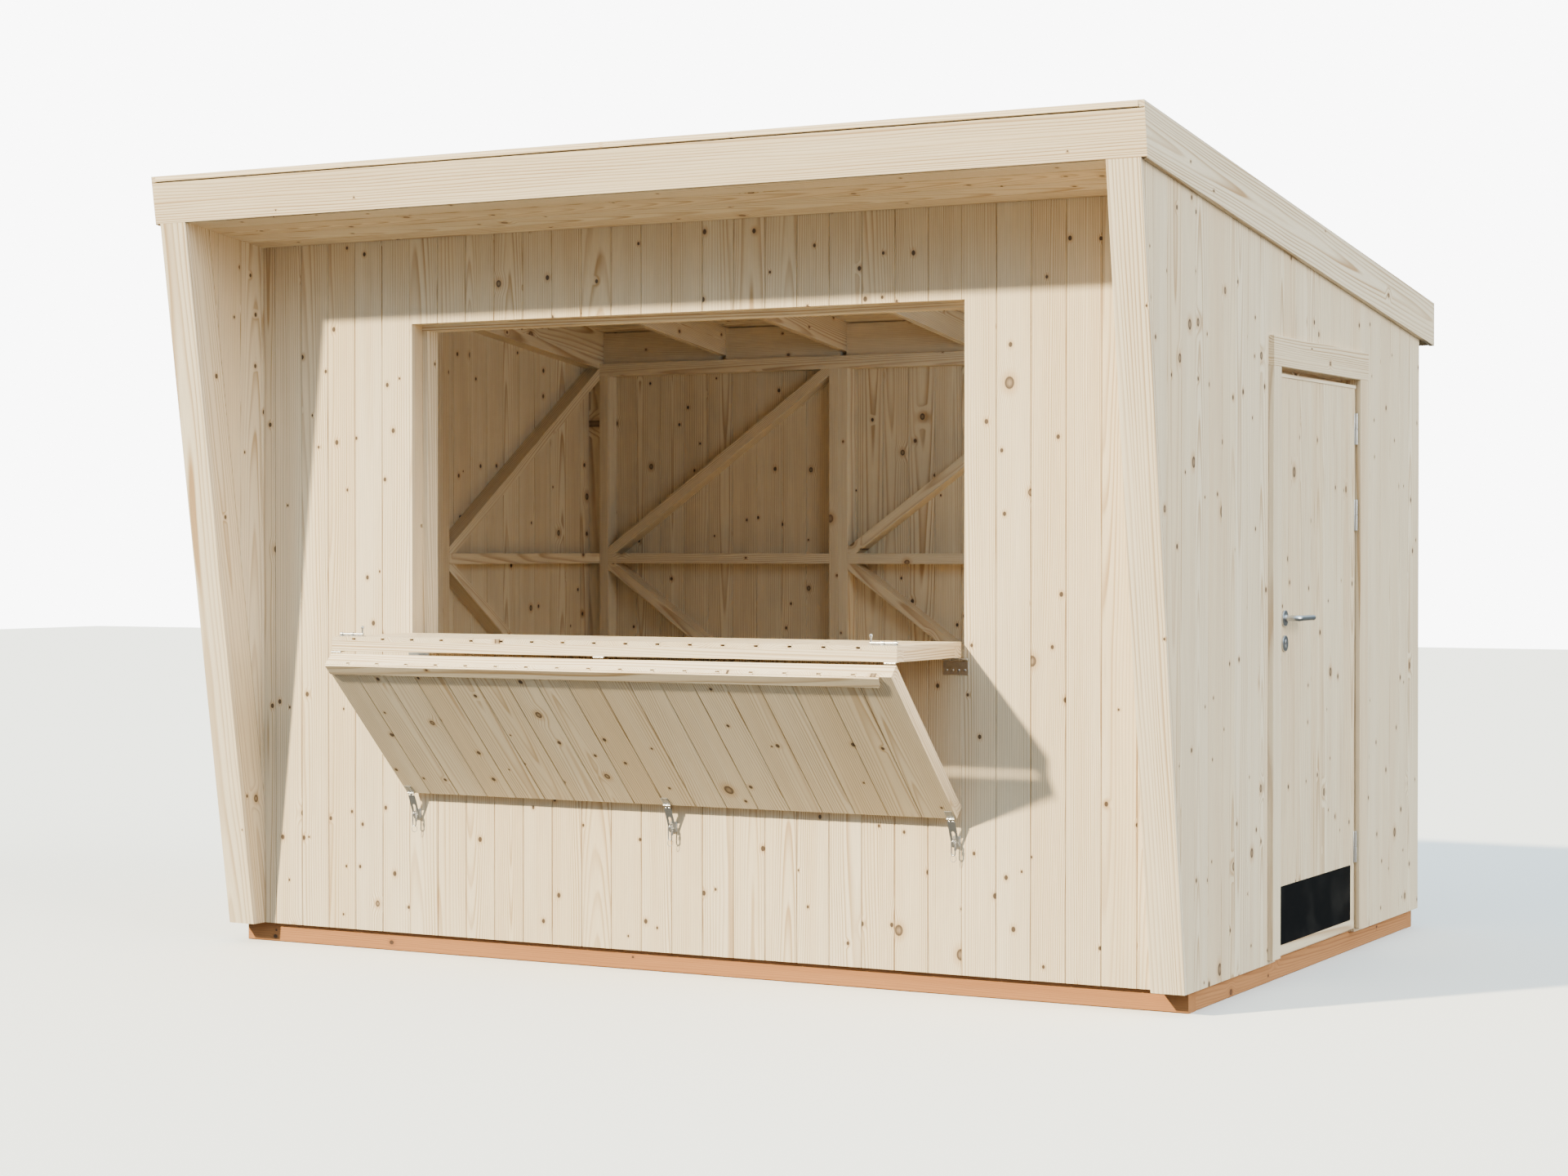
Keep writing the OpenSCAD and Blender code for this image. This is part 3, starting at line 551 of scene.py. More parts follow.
@dataclass
class Pile:
    """Pieces that make up one visible piece, gathered as arrays."""

    name: str
    seed: int
    place: Place | None = None
    milling: Milling = Milling()
    points: list[Array] = field(default_factory=list)
    grains: list[Array] = field(default_factory=list)
    tones: list[Array] = field(default_factory=list)
    faces: list[tuple[int, ...]] = field(default_factory=list)
    count: int = 0

    def __post_init__(self) -> None:
        """Starts the pile's own random numbers."""
        self.rng = np.random.default_rng(self.seed)

    def log(self, width: float, thick: float) -> Log:
        """Draws where in a log the next piece was sawn.

        Args:
            width: Width of its face.
            thick: Its thickness.

        Returns:
            The place.
        """
        aside = self.rng.normal(width / 2, width * 0.75)
        depth = self.rng.uniform(0.012, 0.085) * self.rng.choice([-1.0, 1.0])
        heart = (aside, depth if depth < 0 else thick + depth)
        tilt = (self.rng.normal(0.0, 0.005), self.rng.normal(0.0, 0.014))
        return Log(self.rng.uniform(0.0, 40.0), heart, tilt, self.rng.beta(1.6, 2.2))

    def section(self, width: float, thick: float, left: Edge, right: Edge,
                stations: Sequence[float] = (), start: float = 0.0) -> Array:
        """Closed outline of a board, anticlockwise in (across, out).

        Args:
            width: Width that the board covers.
            thick: Thickness.
            left: Edge at the start.
            right: Edge at the far side.
            stations: Places across where both faces get a point of their own.
            start: Where the board begins across.

        Returns:
            Rows of (across, out).
        """
        near = self.milling.edge(left, thick)[::-1]
        far = self.milling.edge(right, thick)
        far = np.column_stack([width - far[:, 0], far[:, 1]])
        between = np.array(sorted(stations)).reshape(-1, 1) - start
        back = np.hstack([between, np.zeros_like(between)])
        front = np.hstack([between, np.full_like(between, thick)])[::-1]
        outline = np.vstack([back, far, front, near])
        return outline + np.array([start, 0.0])

    def lay(self, axes: Axes, outline: Array, low: Sequence[Plane], high: Sequence[Plane], source: Log) -> None:
        """Carries an outline along a piece from its lower cuts to its upper cuts.

        Each point of the outline starts at the furthest of the lower cuts and ends at the
        nearest of the upper ones, so that two cuts meet in a corner.

        Args:
            axes: The piece's axes.
            outline: Rows of (across, out), anticlockwise.
            low: Lower cuts.
            high: Upper cuts.
            source: Where the piece was sawn.
        """
        base = axes.points(outline)
        begin = np.max([cut.reach(base, axes.along) for cut in low], axis=0)
        end = np.min([cut.reach(base, axes.along) for cut in high], axis=0)
        if (end - begin).max() < 0.001:
            return
        end = np.maximum(end, begin + 0.0002)
        self._join(axes, outline, base, begin, end, source)

    def _join(self, axes: Axes, outline: Array, base: Array, begin: Array, end: Array, source: Log) -> None:
        """Adds the points and faces between two rings of the outline."""
        rings = [base + reach[:, None] * axes.along for reach in (begin, end)]
        points = np.vstack(rings)
        sides = len(outline)
        near = np.arange(sides)
        far = np.roll(near, -1)
        walls = np.column_stack([near, far, far + sides, near + sides])
        caps = [tuple(near[::-1]), tuple(near + sides)]
        faces = [tuple(row) for row in walls.tolist()] + [tuple(int(i) for i in cap) for cap in caps]
        if not axes.right_handed:
            faces = [face[::-1] for face in faces]
        flat = np.vstack([outline, outline])
        self.add(points, faces, source.grain(np.concatenate([begin, end]), flat), source.tone)

    def add(self, points: Array, faces: Sequence[tuple[int, ...]], grain: Array, tone: float) -> None:
        """Adds ready points and faces.

        Args:
            points: Rows of coordinates.
            faces: Corners of each face, as numbers of those points.
            grain: Log coordinates, one row a point.
            tone: Tone of the piece, from 0 to 1.
        """
        self.points.append(points if self.place is None else self.place(points))
        self.grains.append(grain)
        self.tones.append(np.full(len(points), tone))
        self.faces.extend(tuple(corner + self.count for corner in face) for face in faces)
        self.count += len(points)

    def board(self, axes: Axes, spread: tuple[float, float], thick: float, low: Sequence[Plane],
              high: Sequence[Plane], edges: tuple[Edge, Edge] = (Edge.SAWN, Edge.SAWN),
              source: Log | None = None) -> None:
        """Lays one board.

        Args:
            axes: Its axes.
            spread: Where it begins and ends across.
            thick: Thickness.
            low: Lower cuts.
            high: Upper cuts.
            edges: How its two long edges are worked.
            source: Where it was sawn, drawn if not given.
        """
        width = spread[1] - spread[0]
        source = source or self.log(width, thick)
        stations = [*corners(axes, spread, thick, low), *corners(axes, spread, thick, high)]
        outline = self.section(width, thick, edges[0], edges[1], stations, spread[0])
        self.lay(axes, outline, low, high, source)

    def build(self, body: str, material: bpy.types.Material, slot: str, nodes: Sequence[str]) -> bpy.types.Object:
        """Turns the pile into one object on a body.

        Args:
            body: Body that it rides on.
            material: Finish.
            slot: Not used.
            nodes: CAD nodes that it stands for.

        Returns:
            The object.
        """
        mesh = bpy.data.meshes.new(self.name)
        mesh.from_pydata(np.vstack(self.points).tolist(), [], self.faces)
        grain = mesh.attributes.new("grain", "FLOAT_VECTOR", "POINT")
        grain.data.foreach_set("vector", np.vstack(self.grains).astype(np.float32).ravel())
        tone = mesh.attributes.new("tone", "FLOAT", "POINT")
        tone.data.foreach_set("value", np.concatenate(self.tones).astype(np.float32))
        mesh.materials.append(material)
        mesh.update()
        return stand(bpy.data.objects.new(self.name, mesh), body, nodes)


def corners(axes: Axes, spread: tuple[float, float], thick: float, cuts: Sequence[Plane]) -> list[float]:
    """Places across a board where two of its cuts meet.

    Each cut's reach is linear across the board, so that two of them meet at one place.

    Args:
        axes: The board's axes.
        spread: Where it begins and ends across.
        thick: Thickness.
        cuts: Cuts at one end.

    Returns:
        The places that lie inside the board.
    """
    ends = np.array([[spread[0], thick / 2], [spread[1], thick / 2]])
    reaches = [cut.reach(axes.points(ends), axes.along) for cut in cuts]
    found = []
    for i, first in enumerate(reaches):
        for second in reaches[i + 1:]:
            gap = first - second
            if gap[0] * gap[1] < 0:
                share = gap[0] / (gap[0] - gap[1])
                found.append(spread[0] + share * (spread[1] - spread[0]))
    margin = 0.004
    return [place for place in found if spread[0] + margin < place < spread[1] - margin]


def stand(piece: bpy.types.Object, body: str, nodes: Sequence[str] = ()) -> bpy.types.Object:
    """Links an object, sets it on its body and lets it stand for CAD nodes.

    Args:
        piece: The object.
        body: Body that it rides on.
        nodes: CAD nodes that it replaces.

    Returns:
        The object.
    """
    bpy.context.scene.collection.objects.link(piece)
    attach(piece, body)
    if nodes:
        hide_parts(*nodes)
    log.info("%s: %d faces on %s", piece.name, len(piece.data.polygons), body)
    return piece


@dataclass(frozen=True)
class Hole:
    """An opening in a boarded face: its spread across, and its lower and upper cut."""

    spread: tuple[float, float]
    foot: Plane
    head: Plane


@dataclass(frozen=True)
class Cladding:
    """Tongued and grooved boards laid side by side over one face."""

    axes: Axes
    spread: tuple[float, float]
    thick: float
    joint: float
    low: Sequence[Plane]
    high: Sequence[Plane]
    pitch: float = BOARD_PITCH
    hole: Hole | None = None

    def _edges(self) -> list[float]:
        """Places of both sides and of every joint between them."""
        first = math.ceil((self.spread[0] + NARROWEST_STRIP - self.joint) / self.pitch)
        last = math.floor((self.spread[1] - NARROWEST_STRIP - self.joint) / self.pitch)
        return [self.spread[0], *(self.joint + i * self.pitch for i in range(first, last + 1)), self.spread[1]]

    def lay(self, pile: Pile) -> None:
        """Lays every board, cut round the hole where there is one."""
        edges = self._edges()
        for start, end in zip(edges, edges[1:]):
            left = Edge.SAWN if start == edges[0] else Edge.GROOVE
            right = Edge.SAWN if end == edges[-1] else Edge.TONGUE
            source = pile.log(end - start, self.thick)
            source = Log(source.start, (source.heart[0] + start, source.heart[1]), source.tilt, source.tone)
            for part, sides, low, high in self._parts(start, end, left, right):
                pile.board(self.axes, part, self.thick, low, high, sides, source)

    def _parts(self, start: float, end: float, left: Edge, right: Edge) -> Iterator[tuple]:
        """Splits a board where the hole's sides cross it.

        Args:
            start: Where the board begins across.
            end: Where it ends.
            left: Its first edge.
            right: Its other edge.

        Yields:
            The spread, both edges and the cuts of each part.
        """
        if self.hole is None:
            yield (start, end), (left, right), self.low, self.high
            return
        sides = [side for side in self.hole.spread if start + 0.001 < side < end - 0.001]
        stops = [start, *sides, end]
        for a, b in zip(stops, stops[1:]):
            worked = (left if a == start else Edge.FLUSH, right if b == end else Edge.FLUSH)
            if b - a < NARROWEST_STRIP:
                worked = (Edge.FLUSH, Edge.FLUSH)
            inside = self.hole.spread[0] < (a + b) / 2 < self.hole.spread[1]
            if inside:
                yield (a, b), worked, self.low, [*self.high, self.hole.foot]
                yield (a, b), worked, [*self.low, self.hole.head], self.high
            else:
                yield (a, b), worked, self.low, self.high


# ---------------------------------------------------------------------------------------------
# The stall's shape, read from the frame
# ---------------------------------------------------------------------------------------------
@dataclass(frozen=True)
class Shell:
    """Planes and sizes that the stall's pieces share, in metres."""

    half_w: float
    front_y: float
    rear_y: float
    wall_z: float
    board: float
    roof_z: float
    pitch: float
    fin_foot_y: float
    lean: float
    rear_edge_y: float
    stud: float = 0.040
    frame_t: float = 0.067
    rafter_h: float = 0.110
    fascia_h: float = 0.150
    lap: float = 0.002

    @classmethod
    def from_frame(cls) -> "Shell":
        """Works the sizes out from the CAD nodes' boxes.

        Returns:
            The shell.
        """
        below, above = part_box("front_wall_below")
        roof_low, roof_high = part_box("roof_boards")
        trim_low, trim_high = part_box("fin_trims")
        board = above.y - below.y
        pitch = lean = 0.0
        for _ in range(6):
            fallen = roof_high.z - roof_low.z - board / math.cos(pitch)
            pitch = math.atan(fallen / (roof_high.y - roof_low.y))
            foot_y = trim_high.y - board / math.cos(lean)
            lean = math.atan((foot_y - trim_low.y) / (trim_high.z - trim_low.z))
        roof_z = roof_high.z - (below.y - roof_low.y) * math.tan(pitch)
        return cls(
            half_w=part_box("right_wall_front")[1].x, front_y=below.y, rear_y=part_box("back_wall")[1].y,
            wall_z=below.z, board=board, roof_z=roof_z, pitch=pitch, fin_foot_y=foot_y, lean=lean,
            rear_edge_y=roof_high.y,
        )

    @property
    def frame_x(self) -> float:
        """Inner face of the side walls' boards."""
        return self.half_w - self.board

    @property
    def room_x(self) -> float:
        """Inner face of the side frames."""
        return self.frame_x - self.frame_t

    @property
    def lining_x(self) -> float:
        """Inner face of the recess's side boards."""
        return self.room_x - self.board

    @property
    def floor_z(self) -> float:
        """Upper face of the floor."""
        return self.wall_z + self.board

    @property
    def frame_front_y(self) -> float:
        """Inner face of the front wall's boards."""
        return self.front_y + self.board

    @property
    def frame_rear_y(self) -> float:
        """Inner face of the rear wall's boards."""
        return self.rear_y - self.board

    @property
    def room_front_y(self) -> float:
        """Inner face of the front frame."""
        return self.frame_front_y + self.frame_t

    @property
    def room_rear_y(self) -> float:
        """Inner face of the rear frame."""
        return self.frame_rear_y - self.frame_t

    @property
    def rafter_foot(self) -> float:
        """Depth of the rafters' lower edge under the roof's upper face."""
        return self.board + self.rafter_h

    @property
    def soffit_foot(self) -> float:
        """Depth of the soffit's lower face under the roof's upper face."""
        return self.rafter_foot + self.board

    @property
    def downhill(self) -> Array:
        """Unit vector down the roof, to the rear."""
        return np.array([0.0, math.cos(self.pitch), -math.sin(self.pitch)])

    @property
    def roof_normal(self) -> Array:
        """Unit vector square to the roof, upwards."""
        return np.array([0.0, math.sin(self.pitch), math.cos(self.pitch)])

    @property
    def uphill_front(self) -> Array:
        """Unit vector up the slanted front edge."""
        return np.array([0.0, -math.sin(self.lean), math.cos(self.lean)])

    @property
    def front_inward(self) -> Array:
        """Unit vector square to the slanted front, into the stall."""
        return np.array([0.0, math.cos(self.lean), math.sin(self.lean)])

    def roof_at(self, y: float, drop: float) -> float:
        """Height at y of a plane that lies drop under the roof's upper face."""
        return self.roof_z - (y - self.front_y) * math.tan(self.pitch) - drop / math.cos(self.pitch)

    def under_roof(self, drop: float) -> Plane:
        """A cut parallel to the roof, drop under its upper face."""
        return Plane((0.0, self.front_y, self.roof_at(self.front_y, drop)), tuple(self.roof_normal))

    def slant(self, inset: float) -> Plane:
        """A cut parallel to the slanted front, inset behind it."""
        foot = np.array([0.0, self.fin_foot_y, self.wall_z]) + inset * self.front_inward
        return Plane(tuple(foot), tuple(self.front_inward))

    def fin_top(self, drop: float, inset: float) -> Array:
        """Where the slanted front, set back by inset, meets the plane drop under the roof."""
        foot = np.array([0.0, self.fin_foot_y, self.wall_z]) + inset * self.front_inward
        reach = self.under_roof(drop).reach(foot[None, :], self.uphill_front)[0]
        return foot + reach * self.uphill_front

    def roof_axes(self, drop: float, along: Array, across: Array, out: Array) -> Axes:
        """Axes on a plane drop under the roof, from its line over the front wall."""
        return Axes(np.array([0.0, self.front_y, self.roof_at(self.front_y, drop)]), along, across, out)


def upright(x: float, y: float, across: Array, out: Array) -> Axes:
    """Axes of an upright piece whose place across and out is counted from x, y."""
    return Axes(np.array([x, y, 0.0]), Z_AXIS, across, out)


def bar(pile: Pile, low: Sequence[float], high: Sequence[float], along: int, face: int) -> None:
    """Lays a straight bar that fills a box.

    Args:
        pile: Where it goes.
        low: The box's lowest corner.
        high: Its highest corner.
        along: Number of the axis that its grain follows.
        face: Number of the axis that its wider face looks along.
    """
    basis = np.eye(3)
    other = 3 - along - face
    origin = np.array([float(value) for value in low])
    axes = Axes(origin, basis[along], basis[other], basis[face])
    size = np.array(high, float) - origin
    ends = [Plane(tuple(origin), tuple(basis[along])), Plane(tuple(origin + size * basis[along]), tuple(basis[along]))]
    pile.board(axes, (0.0, size[other]), size[face], [ends[0]], [ends[1]])


# ---------------------------------------------------------------------------------------------
# Metal pieces
# ---------------------------------------------------------------------------------------------
@dataclass
class Smithy:
    """Closed metal surfaces that make up one visible piece."""

    name: str
    place: Place | None = None
    points: list[Array] = field(default_factory=list)
    faces: list[tuple[int, ...]] = field(default_factory=list)
    count: int = 0

    def add(self, points: Array, faces: Sequence[tuple[int, ...]]) -> None:
        """Adds ready points and faces."""
        self.points.append(points if self.place is None else self.place(points))
        self.faces.extend(tuple(int(corner) + self.count for corner in face) for face in faces)
        self.count += len(points)

    def turned(self, start: Sequence[float], axis: Array, profile: Sequence[tuple[float, float]],
               sides: int = 28) -> None:
        """Turns a profile round an axis.

        A point of the surface is start + along * axis + radius * (cos t * u + sin t * v), where
        u and v are square to the axis and t goes round once. Both ends of the profile lie on
        the axis, which closes the surface.

        Args:
            start: Where the axis begins.
            axis: Its direction.
            profile: Rows of (along, radius) between the two closing points.
            sides: Number of points round.
        """
        rows = np.array(profile, float)
        u, v = square_to(axis)
        turn = np.linspace(0.0, 2 * math.pi, sides, endpoint=False)
        ring = np.cos(turn)[:, None] * u + np.sin(turn)[:, None] * v
        grid = np.array(start, float) + rows[:, :1, None] * axis + rows[:, 1:2, None] * ring[None]
        ends = np.array(start, float) + rows[[0, -1], :1] * axis
        self._skin(grid, ends)

    def swept(self, path: Array, radius: float, sides: int = 14, closed: bool = False) -> None:
        """Carries a circle along a path that lies in one plane or nearly so.

        Args:
            path: Points of its middle line, one a row.
            radius: Radius of the circle.
            sides: Number of points round.
            closed: Whether the path joins its own start.
        """
        if closed:
            run = np.roll(path, -1, axis=0) - np.roll(path, 1, axis=0)
        else:
            run = np.gradient(path, axis=0)
        run /= np.linalg.norm(run, axis=1)[:, None]
        spread = path - path.mean(axis=0)
        plane = np.linalg.svd(spread)[2][2] if len(path) > 2 else square_to(run[0])[0]
        side = np.cross(run, plane)
        side /= np.linalg.norm(side, axis=1)[:, None]
        up = np.cross(side, run)
        turn = np.linspace(0.0, 2 * math.pi, sides, endpoint=False)
        grid = path[:, None] + radius * (np.cos(turn)[None, :, None] * side[:, None]
                                         + np.sin(turn)[None, :, None] * up[:, None])
        self._skin(grid[:, ::-1], None if closed else path[[0, -1]])

    def _skin(self, grid: Array, ends: Array | None) -> None:
        """Closes a grid of rings into a skin, joined to itself or ended in two points."""
        rows, sides = grid.shape[:2]
        spans = rows if ends is None else rows - 1
        i, j = np.meshgrid(np.arange(spans), np.arange(sides), indexing="ij")
        nxt, jn = (i + 1) % rows, (j + 1) % sides
        quads = np.stack([i * sides + j, i * sides + jn, nxt * sides + jn, nxt * sides + j], axis=-1)
        faces = [tuple(quad) for quad in quads.reshape(-1, 4).tolist()]
        points = grid.reshape(-1, 3)
        if ends is not None:
            points = np.vstack([points, ends])
            first, last = rows * sides, rows * sides + 1
            faces += [(first, (k + 1) % sides, k) for k in range(sides)]
            base = (rows - 1) * sides
            faces += [(last, base + k, base + (k + 1) % sides) for k in range(sides)]
        self.add(points, faces)

    def plate(self, origin: Sequence[float], u: Array, v: Array, outline: Array, thick: float,
              bevel: float = 0.0005, holes: Sequence[Array] = ()) -> None:
        """Raises a flat plate with worked edges from an outline.

        The outline lies in the plane of u and v, and the plate's thickness is along u x v. Four
        rings of it go from the lower face over both bevels to the upper face.

        Args:
            origin: Where the outline's zero lies, on the lower face.
            u: First direction of the plane.
            v: Second direction of the plane.
            outline: Anticlockwise rows of (u, v).
            thick: Thickness.
            bevel: Width of the worked edges.
            holes: One hole at most, as an outline with as many points as the plate's own.
        """
        w = np.cross(u, v)
        steps = [(bevel, 0.0), (0.0, bevel), (0.0, thick - bevel), (bevel, thick)]
        rings = [np.array(origin, float) + inset(outline, -step)[:, :1] * u
                 + inset(outline, -step)[:, 1:] * v + rise * w for step, rise in steps]
        sides = len(outline)
        if not holes:
            self._prism(rings, sides)
            return
        inner = [np.array(origin, float) + inset(holes[0], step)[:, :1] * u
                 + inset(holes[0], step)[:, 1:] * v + rise * w for step, rise in steps]
        # The rings run up the outer wall, over the upper face and down the hole's wall
        grid = np.stack([*rings, *inner[::-1]])
        self._skin(grid, None)

    def _prism(self, rings: Sequence[Array], sides: int) -> None:
        """Joins rings one over another and closes both ends with flat faces."""
        faces = []
        near = np.arange(sides)
        far = np.roll(near, -1)
        for level_no in range(len(rings) - 1):
            base = level_no * sides
            quads = np.column_stack([near, far, far + sides, near + sides]) + base
            faces += [tuple(quad) for quad in quads.tolist()]
        faces.append(tuple(near[::-1].tolist()))
        faces.append(tuple((near + (len(rings) - 1) * sides).tolist()))
        self.add(np.vstack(rings), faces)

    def screw(self, head: Sequence[float], out: Array, radius: float = 0.004) -> None:
        """Sets a domed cross-head screw on a face.

        Args:
            head: Middle of the head, on the face.
            out: Direction out of the face.
            radius: Radius of the head.
        """
        dome = [(-0.0006, radius * 0.97), (0.0002, radius), (radius * 0.18, radius * 0.9),
                (radius * 0.33, radius * 0.62), (radius * 0.36, radius * 0.3), (radius * 0.12, radius * 0.22)]
        self.turned(head, out, dome, 12)

    def build(self, body: str, material: bpy.types.Material, nodes: Sequence[str] = (),
              slot: str = "ironwork", sharp: float = 32.0) -> bpy.types.Object:
        """Turns the surfaces into one object on a body.

        Args:
            body: Body that it rides on.
            material: Finish.
            nodes: CAD nodes that it stands for.
            slot: Not used.
            sharp: Angle in degrees past which an edge stays sharp.

        Returns:
            The object.
        """
        mesh = bpy.data.meshes.new(self.name)
        mesh.from_pydata(np.vstack(self.points).tolist(), [], self.faces)
        mesh.materials.append(material)
        mesh.update()
        mesh.shade_smooth()
        mesh.set_sharp_from_angle(angle=math.radians(sharp))
        return stand(bpy.data.objects.new(self.name, mesh), body, nodes)


def square_to(axis: Array) -> tuple[Array, Array]:
    """Two unit vectors that make a right-handed set with the axis: u x v = axis."""
    helper = X_AXIS if abs(axis[0]) < 0.9 else Y_AXIS
    u = np.cross(helper, axis)
    u /= np.linalg.norm(u)
    return u, np.cross(axis, u)


def inset(outline: Array, reach: float) -> Array:
    """Moves a closed anticlockwise outline outwards by reach, or inwards where it is negative.

    Each corner moves along the bisector of its two edges, by reach over the cosine of half
    the turn between them.

    Args:
        outline: Rows of two coordinates.
        reach: Distance.

    Returns:
        The moved outline.
    """
    before = outline - np.roll(outline, 1, axis=0)
    after = np.roll(outline, -1, axis=0) - outline
    before /= np.linalg.norm(before, axis=1)[:, None]
    after /= np.linalg.norm(after, axis=1)[:, None]
    normal_a = np.column_stack([before[:, 1], -before[:, 0]])
    normal_b = np.column_stack([after[:, 1], -after[:, 0]])
    shift = (normal_a + normal_b) / (1 + (normal_a * normal_b).sum(axis=1))[:, None]
    return outline + reach * shift


def rounded(width: float, height: float, radius: float, steps: int = 5,
            middle: tuple[float, float] = (0.0, 0.0)) -> Array:
    """Outline of a rectangle with round corners, anticlockwise.

    Args:
        width: Full width.
        height: Full height.
        radius: Radius of the corners.
        steps: Points on each corner.
        middle: Its middle.

    Returns:
        Rows of two coordinates.
    """
    turn = np.linspace(0.0, math.pi / 2, steps)
    parts = []
    for quarter, (sx, sy) in enumerate([(1, 1), (-1, 1), (-1, -1), (1, -1)]):
        angle = turn + quarter * math.pi / 2
        hub = np.array([sx * (width / 2 - radius), sy * (height / 2 - radius)])
        parts.append(hub + radius * np.column_stack([np.cos(angle), np.sin(angle)]))
    return np.vstack(parts) + np.array(middle)


@dataclass(frozen=True)
class Turn:
    """A turn in the Y-Z plane about an axis along X."""

    axis: tuple[float, float]
    angle: float

    def __call__(self, points: Array) -> Array:
        """Turns points, with positive angles from Y towards Z."""
        c, s = math.cos(self.angle), math.sin(self.angle)
        y, z = points[:, 1] - self.axis[0], points[:, 2] - self.axis[1]
        return np.column_stack([points[:, 0], self.axis[0] + y * c - z * s, self.axis[1] + y * s + z * c])


@dataclass(frozen=True)
class Turns:
    """Turns one after another, the last one first."""

    steps: tuple[Turn, ...]

    def __call__(self, points: Array) -> Array:
        """Turns points."""
        for step in reversed(self.steps):
            points = step(points)
        return points


# ---------------------------------------------------------------------------------------------
# Sub-assemblies
# ---------------------------------------------------------------------------------------------
@dataclass
class Base:
    """Treated beams on the ground, and the floor's boards."""

    shell: Shell
    beam_w: float = 0.060
    cross_beams: int = 7
    leaf_gap: float = 0.006

    def build(self, finishes: Finishes) -> None:
        """Builds the beams and the floor."""
        s = self.shell
        x, y, top = s.frame_x, s.frame_rear_y, s.wall_z
        beams = Pile("base_beams", 101, milling=Milling(corner=0.003))
        for side in (-1, 1):
            outer, inner = sorted((side * y, side * (y - self.beam_w)))
            bar(beams, (-x, outer, 0.0), (x, inner, top), 0, 1)
            outer, inner = sorted((side * x, side * (x - self.beam_w)))
            bar(beams, (outer, -y + self.beam_w, 0.0), (inner, y - self.beam_w, top), 1, 0)
        pitch = 2 * (x - self.beam_w) / (self.cross_beams + 1)
        for i in range(1, self.cross_beams + 1):
            middle = -x + self.beam_w + i * pitch
            bar(beams, (middle - self.beam_w / 2, -y + self.beam_w, 0.0),
                (middle + self.beam_w / 2, y - self.beam_w, top), 1, 0)
        beams.build("stall", finishes.treated, "treated_beams", ["base_frame"])
        floor = Pile("floor_planks", 102)
        door_low, door_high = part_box("door_jambs")
        lining = s.board
        hole = Hole((door_low.y + lining, door_high.y - lining), across_x(x - self.leaf_gap), across_x(x + 1.0))
        axes = Axes(np.array([0.0, 0.0, top]), X_AXIS, Y_AXIS, Z_AXIS)
        Cladding(axes, (s.frame_front_y, s.frame_rear_y), s.board, -1.06, [across_x(-x)], [across_x(x)],
                 0.135, hole).lay(floor)
        floor.build("stall", finishes.framing, "floor", ["floor_boards"])


